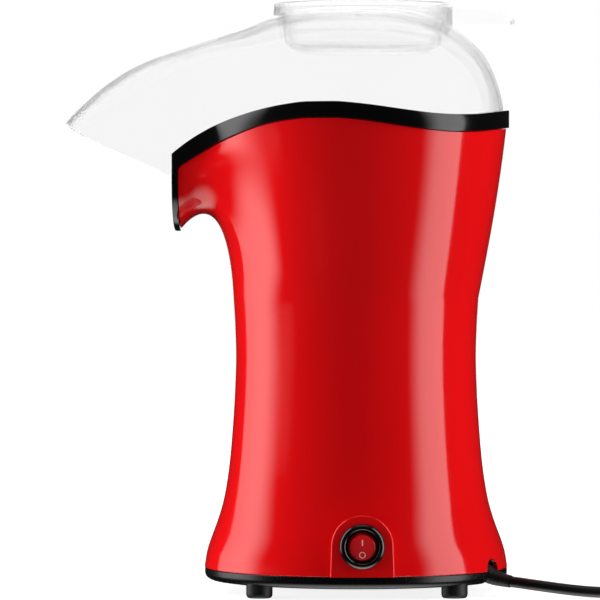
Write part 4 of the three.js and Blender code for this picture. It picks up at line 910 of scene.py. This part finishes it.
outer_wall = cup_profile([(41.9, 296.8), (41.3, 290), (40.6, 284), (39.9, 280.6), (38.6, 278.2), (36.4, 276.7), (33.5, 276.2)], 5)
inner_wall = cup_profile([(33.4, 277.8), (35.4, 278.15), (37.0, 279.3), (38.2, 281.3), (39.0, 284.6), (39.8, 291), (40.3, 298)], 5)
cup_rows = [cup_ring(40.6, 299.6), cup_ring(41.2, 300.1), cup_ring(43.6, 300.4), cup_ring(44.8, 300.45), cup_ring(45.5, 300.1), cup_ring(45.7, 299.5),
            cup_ring(45.7, skirt_low), cup_ring(45.4, lambda x, y: skirt_low(x, y) - 0.1), cup_ring(44.5, lambda x, y: skirt_low(x, y) - 0.1), cup_ring(44.3, skirt_low),
            cup_ring(44.3, 298.1), cup_ring(44.0, 297.8), cup_ring(42.2, 297.8)]
cup_rows += [cup_ring(r, z) for r, z in outer_wall]
cup_rows += [cup_ring(20, 276.2), cup_ring(3, 276.2)]
cup_rows2 = [cup_ring(3, 277.8), cup_ring(20, 277.8)] + [cup_ring(r, z) for r, z in inner_wall]
cup_verts, cup_faces = skin(np.array(cup_rows + cup_rows2), close_v=True)
nrow = len(cup_rows)
# close the middle of the floor: the two smallest rings are capped instead of joined
cup_faces = [f for f in cup_faces if not ({i // SEG for i in f} == {nrow - 1, nrow})]
cup_faces.append(tuple(range((nrow - 1) * SEG, nrow * SEG)))
cup_faces.append(tuple(reversed(range(nrow * SEG, (nrow + 1) * SEG))))
cup = build("clear_cup", (cup_verts, cup_faces), CUP_CLEAR)
TAB_TOP = [(44, 300.1), (56, 299.7), (66, 298.7), (73, 297.3), (77.6, 295.5), (80.2, 293.2), (81, 291.2), (80.4, 289.6), (79.4, 288.9)]


def tab_tool(name, inset, drop, y0):
    low = 288.9 - drop * 3
    top = catmull([(y, z, 0) for y, z in TAB_TOP], 6)[:, :2]
    sh = [(y0, low), (y0, TAB_TOP[0][1] - drop)]
    for y, z in top:
        if y > y0:
            sh.append((y - inset * float(smooth((y - 70) / 9)), z - drop))
    if drop > 0:
        sh.append((sh[-1][0], low))
    side = build(name + "_s", skin([[(x, y, z) for y, z in sh] for x in (-20, 20)], cap0=True, cap1=True), None)
    w0, w1 = 15.5 - inset, 13.6 - inset
    ye = 81.2 - inset
    half = catmull([(w0, 40, 0), (w0, 50, 0), (w0 * 0.975, 57, 0), (w1 * 1.01, 68, 0), (w1 * 0.97, 74.5, 0), (w1 * 0.82, 79.0 - inset * 0.5, 0), (w1 * 0.5, ye - 0.35, 0), (0, ye, 0)], 8)[:, :2]
    out = [tuple(p) for p in half] + [(-x, y) for x, y in half[:-1][::-1]]
    plan_tool = build(name + "_p", skin([[(x, y, z) for x, y in out] for z in (278.0, 303.0)], cap0=True, cap1=True), None)
    boolean(side, [plan_tool], "INTERSECT")
    return side


tab = tab_tool("tab", 0.0, 0.0, 46.0)
tab_in = tab_tool("tab_in", 1.8, 1.8, 47.6)
block = build("tab_block", box_data(-20, 20, 40, 49.5, 285, 290.8), None)
keep_out = build("tab_clear", lathe([(0, 270), (44.9, 270), (44.9, 301.5), (0, 301.5)], 144, shift=(0, CUP_Y, 0)), None)
boolean(tab, [tab_in, block, keep_out])
boolean(cup, [tab], "UNION")
cup.data.materials.clear()
cup.data.materials.append(CUP_CLEAR)
soften(cup, 34)
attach(cup, "cup_part")
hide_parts("measuring_cup")

# ------------------------------------------------------------------ base and feet
base_profile = [(0, BASE_UNDER), (40, BASE_UNDER), (67.5, BASE_UNDER), (69.5, 6.4), (71.2, 6.2), (72.8, 6.15), (74.1, 6.35), (75.2, 6.8), (76.1, 7.45), (76.7, 8.2),
                (77.05, 9.0), (77.2, 9.9), (77.2, 12.0), (77.05, 12.2), (74, 12.2), (74, 14.7), (71.6, 14.7), (71.6, BASE_TOP), (0, BASE_TOP)]
base = build("base_pan", lathe(base_profile, 160, scale=(OVAL, 1, 1)), None)
slots = []
for i in range(-3, 4):
    x, reach = i * 10.0, math.sqrt(1600 - (i * 10.0) ** 2)
    for y0, y1 in ((-reach, -2.2), (2.2, reach)):
        slots.append(build("slot", box_data(x - 1.6, x + 1.6, y0, y1, 5, 12), None))
for sx, sy in ((1, -1), (1, 1), (-1, 1), (-1, -1)):
    slots.append(build("pocket", lathe([(0, 5), (FOOT_R + 0.35, 5), (FOOT_R + 0.35, FOOT_TOP + GAP), (2, FOOT_TOP + GAP), (2, 13), (0, 13)], 48, shift=(sx * FOOT_X, sy * FOOT_Y, 0)), None))
slots.append(notch_tool("notch2", 5.9, 12.9, 5.2, 64.5, 84))
boolean(base, slots)
posts = []
for a in (90, 210, 330):
    x, y = math.sin(rad(a + 30)) * 53, -math.cos(rad(a + 30)) * 53
    posts.append(build("post", lathe([(1.5, 9.7), (3.4, 9.7), (3.4, 16), (1.5, 16)], 32, closed=True, shift=(x, y, 0)), None))
base.data.materials.clear()
base.data.materials.append(BASE)
soften(base, 30)
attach(base, "root")
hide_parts("base_plate")
for i, post in enumerate(posts):
    post.name = f"base_post_{i + 1}"
    post.data.materials.append(BASE)
    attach(post, "root")
for i, (sx, sy) in enumerate(((1, -1), (1, 1), (-1, 1), (-1, -1))):
    prof = [(3.7, 0), (5.2, 0), (5.7, 0.12), (6.1, 0.45), (6.4, 0.95), (6.6, 1.6), (FOOT_R, 2.4), (FOOT_R, FOOT_TOP - 0.2), (FOOT_R - 0.2, FOOT_TOP), (2, FOOT_TOP), (2, 5.2), (3.5, 5.2), (3.7, 5.0), (3.7, 0.2)]
    build(f"rubber_foot_{i + 1}", lathe(prof, 64, closed=True, shift=(sx * FOOT_X, sy * FOOT_Y, 0)), RUBBER, "root", (f"foot_{i + 1}",), sharp=40)


# ------------------------------------------------------------------ round rocker switch
def face_x(v):
    """lathe axis z to the switch axis x"""
    return np.stack([v[:, 2], v[:, 1] + SWITCH_Y, -v[:, 0] + SWITCH_Z], 1)


PX = PAD_X
bezel_profile = [(0, 61), (SWITCH_BODY_R, 61), (SWITCH_BODY_R, PX + GAP), (BEZEL_R - 0.2, PX + GAP), (BEZEL_R, PX + 0.5), (BEZEL_R, 76.0), (11.27, 76.5), (11.08, 77.0), (10.75, 77.48), (10.35, 77.82),
                 (9.85, 78.08), (9.35, 78.2), (8.95, 78.15), (8.6, 77.95), (8.35, 77.55), (8.22, 77.0), (8.12, 76.2), (8.1, 66), (0, 66)]
build("switch_bezel", lathe(bezel_profile, 96, about=face_x), SWITCH, "root", ("switch_housing",), sharp=34)
rr = ROCKER_R + 0.15
rock_side = [(math.cos(rad(a)) * rr, ROCKER_PIVOT_X + math.sin(rad(a)) * rr) for a in np.linspace(-32, 30, 16)]
rock_face = [(6.45, 76.75), (6.1, 76.98), (5.6, 77.1), (4.9, 77.2), (4, 77.3), (2.5, 77.42), (1.2, 77.48), (0, 77.5)]
rock_profile = [(0, 67.2), (2.2, 67.2), (2.6, 68.1)] + rock_side + rock_face


def tilt(v):
    ca, sa = math.cos(rad(ROCKER_TILT)), math.sin(rad(ROCKER_TILT))
    x, y, z = v[:, 2] - ROCKER_PIVOT_X, v[:, 1], -v[:, 0]
    return np.stack([x * ca + z * sa + ROCKER_PIVOT_X, y + SWITCH_Y, -x * sa + z * ca + SWITCH_Z], 1)


rocker = build("rocker_button", lathe(rock_profile, 96, about=tilt), ROCKER, "rocker_part", ("switch_rocker",), sharp=30)
face_h = monotone(sorted([(r, x) for r, x in rock_face]))


def tilt_pts(pts):
    """(y, z, lift) on the rocker's face to body millimetres"""
    out = []
    for y, z, h in pts:
        x = float(face_h(math.hypot(y, z))) + h
        out.append((-z, y, x))
    return tilt(np.array(out, float))


marks = Mesh()
bar_y, bar_z = 0.3, 1.45
outline = [(-bar_y, -bar_z), (bar_y, -bar_z), (bar_y, 0), (bar_y, bar_z), (-bar_y, bar_z), (-bar_y, 0)]
v_rows = []
for h in (-0.2, 0.09):
    v_rows.append(tilt_pts([(y, z + 2.7, h) for y, z in outline]))
marks.add(*skin(np.array(v_rows), cap0=True, cap1=True))
rows_o = []
for r, h in ((1.22, -0.2), (1.22, 0.09), (1.66, 0.09), (1.66, -0.2)):
    rows_o.append(tilt_pts([(r * math.cos(a), r * math.sin(a) - 3.45, h) for a in np.linspace(0, 2 * np.pi, 40, endpoint=False)]))
marks.add(*skin(np.array(rows_o), close_v=True))
build("rocker_marks", marks, MARK, "rocker_part", sharp=30)

# ------------------------------------------------------------------ strain relief
relief_path = catmull([exit_at(65.6, 13.6), exit_at(69, 12.9), exit_at(72.5, 11.4), exit_at(77, 9.5), exit_at(82, 8.3), exit_at(86.4, 7.55)], 16)
ra, rl = along(relief_path)
rs = np.linspace(0, rl, 90)
rad_at = monotone([(0, 2.9), (rl * 0.07, 4.5), (rl * 0.14, 4.85), (rl * 0.29, 4.8), (rl * 0.43, 4.4), (rl * 0.57, 4.0), (rl * 0.71, 3.65), (rl * 0.86, 3.35), (rl, 3.1)])
rr_list = []
for s in rs:
    r = float(rad_at(s))
    if s > rl * 0.34 and s < rl * 0.96:
        r -= 0.14 * max(0.0, math.sin((s - rl * 0.34) / (rl * 0.62) * math.pi * 14)) ** 3
    rr_list.append(r)
relief = build("lead_relief", tube(ra(rs), rr_list, 40), RUBBER, "root", ("strain_relief",), sharp=50)

# ------------------------------------------------------------------ finishes of the CAD nodes that stay
KIND = {"base_screw": STEEL, "housing_screw": STEEL, "clamp_screw": STEEL, "motor_shaft": STEEL, "popping_chamber": ALU, "chamber_gasket": SILICONE,
        "heater_shroud": SHEET, "mica_frame": MICA, "heating_coil": STEEL, "blower_housing": INNER, "motor_mount": INNER, "motor_can": SHEET,
        "motor_magnet": MAGNET, "motor_end_cap": INNER, "motor_bushing": BRASS, "motor_armature": COPPER, "motor_commutator": COPPER,
        "motor_brush": MAGNET, "fan_impeller": INNER, "thermostat": BASE, "thermal_fuse": SHEET, "rectifier_board": BOARD, "cord_clamp": BASE,
        "inner_lead": LEAD, "heater_lead": SILICONE, "plug_pin": BRASS}
for name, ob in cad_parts.items():
    for key, mat in KIND.items():
        if name.startswith(key):
            ob.data.materials.clear()
            ob.data.materials.append(mat)
            break

# ------------------------------------------------------------------ floor, backdrop light and softboxes
def stage_plane(name, corners, material):
    me = bpy.data.meshes.new(name)
    me.from_pydata([tuple(p) for p in corners], [], [(0, 1, 2, 3)])
    me.materials.append(material)
    uv = me.uv_layers.new(name="UVMap")
    for i, c in enumerate(((0, 0), (1, 0), (1, 1), (0, 1))):
        uv.data[i].uv = c
    ob = bpy.data.objects.new(name, me)
    bpy.context.scene.collection.objects.link(ob)
    return ob


floor_mat, ft, fb = new_material("studio_floor")
fn = node(ft, "ShaderNodeTexNoise", Scale=3.0, Detail=2.0)
ftc = node(ft, "ShaderNodeTexCoord")
ft.links.new(ftc.outputs["Object"], fn.inputs["Vector"])
fr = node(ft, "ShaderNodeValToRGB")
fr.color_ramp.elements[0].color, fr.color_ramp.elements[1].color = (0.62, 0.62, 0.62, 1), (0.65, 0.65, 0.65, 1)
ft.links.new(fn.outputs["Fac"], fr.inputs["Fac"])
ft.links.new(fr.outputs["Color"], fb.inputs["Base Color"])
fb.inputs["Roughness"].default_value = 0.9
fb.inputs["Specular IOR Level"].default_value = 0.0
fb.inputs["Emission Color"].default_value = (1, 1, 1, 1)
# the floor's glow is weaker near the machine and full white far off: painted shade round its foot on an otherwise
# evenly white floor
far_off = node(ft, "ShaderNodeVectorMath", operation="LENGTH")
ft.links.new(ftc.outputs["Object"], far_off.inputs[0])
floor_glow_and_painted_shade = node(ft, "ShaderNodeMapRange")
for k, v in (("From Min", 0.25), ("From Max", 1.3), ("To Min", 0.84), ("To Max", 1.02)):
    floor_glow_and_painted_shade.inputs[k].default_value = v
ft.links.new(far_off.outputs["Value"], floor_glow_and_painted_shade.inputs["Value"])
ft.links.new(floor_glow_and_painted_shade.outputs["Result"], fb.inputs["Emission Strength"])
floor = stage_plane("studio_floor", [(-6, -6, 0), (6, -6, 0), (6, 6, 0), (-6, 6, 0)], floor_mat)
floor.visible_glossy = False
floor.visible_diffuse = False


def softbox(name, azimuth0, azimuth1, dist, z0, z1, strength, soft0, soft1, v_soft=0.12, far=1.0):
    """an upright light panel seen from the axis between two azimuths (degrees from +X towards +Y); soft edges by share of its width"""
    m, t, b = new_material(name)
    t.nodes.remove(b)
    em = node(t, "ShaderNodeEmission")
    t.links.new(em.outputs[0], t.nodes["Material Output"].inputs[0])
    uvn = node(t, "ShaderNodeUVMap")
    sep = node(t, "ShaderNodeSeparateXYZ")
    t.links.new(uvn.outputs[0], sep.inputs[0])

    def edge_ramp(socket, a, b_, last=1.0):
        r = node(t, "ShaderNodeValToRGB")
        r.color_ramp.interpolation = "EASE"
        e = r.color_ramp.elements
        e[0].position, e[1].position = 0.0, 1.0
        e[0].color = (0, 0, 0, 1) if a > 0 else (1, 1, 1, 1)
        e[1].color = (0, 0, 0, 1) if b_ > 0 else (last, last, last, 1)
        if a > 0:
            k = e.new(a)
            k.color = (1, 1, 1, 1)
        if b_ > 0:
            k = e.new(1 - b_)
            k.color = (1, 1, 1, 1)
        t.links.new(socket, r.inputs["Fac"])
        return r.outputs["Color"]
    hx = edge_ramp(sep.outputs[0], soft0, soft1, far)
    vx = edge_ramp(sep.outputs[1], v_soft, v_soft)
    mul = node(t, "ShaderNodeMath", operation="MULTIPLY")
    t.links.new(hx, mul.inputs[0])
    t.links.new(vx, mul.inputs[1])
    mul2 = node(t, "ShaderNodeMath", operation="MULTIPLY")
    mul2.inputs[1].default_value = strength
    t.links.new(mul.outputs[0], mul2.inputs[0])
    t.links.new(mul2.outputs[0], em.inputs["Strength"])
    cy = AXIS_Y * 0.001
    p0 = (dist * math.cos(rad(azimuth0)), cy + dist * math.sin(rad(azimuth0)))
    p1 = (dist * math.cos(rad(azimuth1)), cy + dist * math.sin(rad(azimuth1)))
    ob = stage_plane(name, [(*p0, z0), (*p1, z0), (*p1, z1), (*p0, z1)], m)
    ob.visible_camera = False
    ob.visible_transmission = False
    ob.visible_shadow = False
    return ob


softbox("softbox_left", -71, -125, 1.6, -0.62, 2.4, 3.0, 0.40, 0.0, v_soft=0.14, far=0.46)
softbox("softbox_right", 46, 87, 1.6, -0.9, 2.4, 3.3, 0.45, 0.0)
softbox("softbox_back", 168, 192, 1.7, 0.0, 1.8, 2.0, 0.25, 0.25)

top = bpy.data.lights.new("top_light", "AREA")
top.energy, top.shape, top.size = 5.0, "DISK", 1.6
top_ob = bpy.data.objects.new("top_light", top)
top_ob.location = (0.15, 0.0, 2.2)
bpy.context.scene.collection.objects.link(top_ob)

side = bpy.data.lights.new("side_light", "AREA")
side.energy, side.shape, side.size, side.size_y = 5.2, "RECTANGLE", 0.45, 0.15
side_ob = bpy.data.objects.new("side_light", side)
side_ob.location = (0.9 * math.cos(rad(-74)), 0.0336 + 0.9 * math.sin(rad(-74)), 0.09)
side_ob.rotation_euler = (Vector((0, 0.0336, 0.15)) - side_ob.location).to_track_quat("-Z", "Y").to_euler()
side_ob.visible_glossy = False
side_ob.visible_transmission = False
bpy.context.scene.collection.objects.link(side_ob)

fill = bpy.data.lights.new("fill_light", "AREA")
fill.energy, fill.shape, fill.size, fill.size_y = 15.0, "RECTANGLE", 0.6, 0.9
fill_ob = bpy.data.objects.new("fill_light", fill)
fill_ob.location = (2.2 * math.cos(rad(80)), 0.0336 + 2.2 * math.sin(rad(80)), 0.5)
fill_ob.rotation_euler = (Vector((0, 0.0336, 0.15)) - fill_ob.location).to_track_quat("-Z", "Y").to_euler()
fill_ob.visible_glossy = False
fill_ob.visible_transmission = False
bpy.context.scene.collection.objects.link(fill_ob)

low = bpy.data.lights.new("low_light", "SPOT")
low.energy, low.spot_size, low.spot_blend, low.shadow_soft_size = 3.0, rad(13), 1.0, 0.05
low_ob = bpy.data.objects.new("low_light", low)
low_ob.location = (0.42, -0.25, 0.02)
low_ob.rotation_euler = (Vector((0.036, -0.054, 0.207)) - low_ob.location).to_track_quat("-Z", "Y").to_euler()
low_ob.visible_glossy = False
low_ob.visible_transmission = False
bpy.context.scene.collection.objects.link(low_ob)

world = bpy.data.worlds.new("studio")
bpy.context.scene.world = world
world.use_nodes = True
wt = world.node_tree
wt.nodes.clear()
wo = wt.nodes.new("ShaderNodeOutputWorld")
bright, dim, dark, mix1, mix2 = (wt.nodes.new(k) for k in ("ShaderNodeBackground", "ShaderNodeBackground", "ShaderNodeBackground", "ShaderNodeMixShader", "ShaderNodeMixShader"))
bright.inputs[0].default_value, bright.inputs[1].default_value = (1, 1, 1, 1), 1.0
dim.inputs[0].default_value = (1, 1, 1, 1)
dark.inputs[0].default_value = (1, 1, 1, 1)
wtc = wt.nodes.new("ShaderNodeTexCoord")
wsep = wt.nodes.new("ShaderNodeSeparateXYZ")
wt.links.new(wtc.outputs["Generated"], wsep.inputs[0])


def by_direction(socket, lo, hi, value_lo, value_hi):
    r = wt.nodes.new("ShaderNodeMapRange")
    r.interpolation_type = "SMOOTHSTEP"
    for k, v in (("From Min", lo), ("From Max", hi), ("To Min", value_lo), ("To Max", value_hi)):
        r.inputs[k].default_value = v
    wt.links.new(socket, r.inputs["Value"])
    return r.outputs["Result"]


# the pale floor throws soft light up from below
wt.links.new(by_direction(wsep.outputs[2], -0.35, 0.35, 0.34, 0.03), dim.inputs[1])
wt.links.new(by_direction(wsep.outputs[2], -0.97, -0.66, 2.6, 0.012), dark.inputs[1])
lp = wt.nodes.new("ShaderNodeLightPath")
wt.links.new(lp.outputs["Is Glossy Ray"], mix1.inputs[0])
wt.links.new(dim.outputs[0], mix1.inputs[1])
wt.links.new(dark.outputs[0], mix1.inputs[2])
vis = wt.nodes.new("ShaderNodeMath")
vis.operation = "MAXIMUM"
wt.links.new(lp.outputs["Is Camera Ray"], vis.inputs[0])
wt.links.new(lp.outputs["Is Transmission Ray"], vis.inputs[1])
wt.links.new(vis.outputs[0], mix2.inputs[0])
wt.links.new(mix1.outputs[0], mix2.inputs[1])
wt.links.new(bright.outputs[0], mix2.inputs[2])
wt.links.new(mix2.outputs[0], wo.inputs[0])
bpy.context.scene.view_settings.view_transform = "Standard"
bpy.context.scene.view_settings.look = "None"
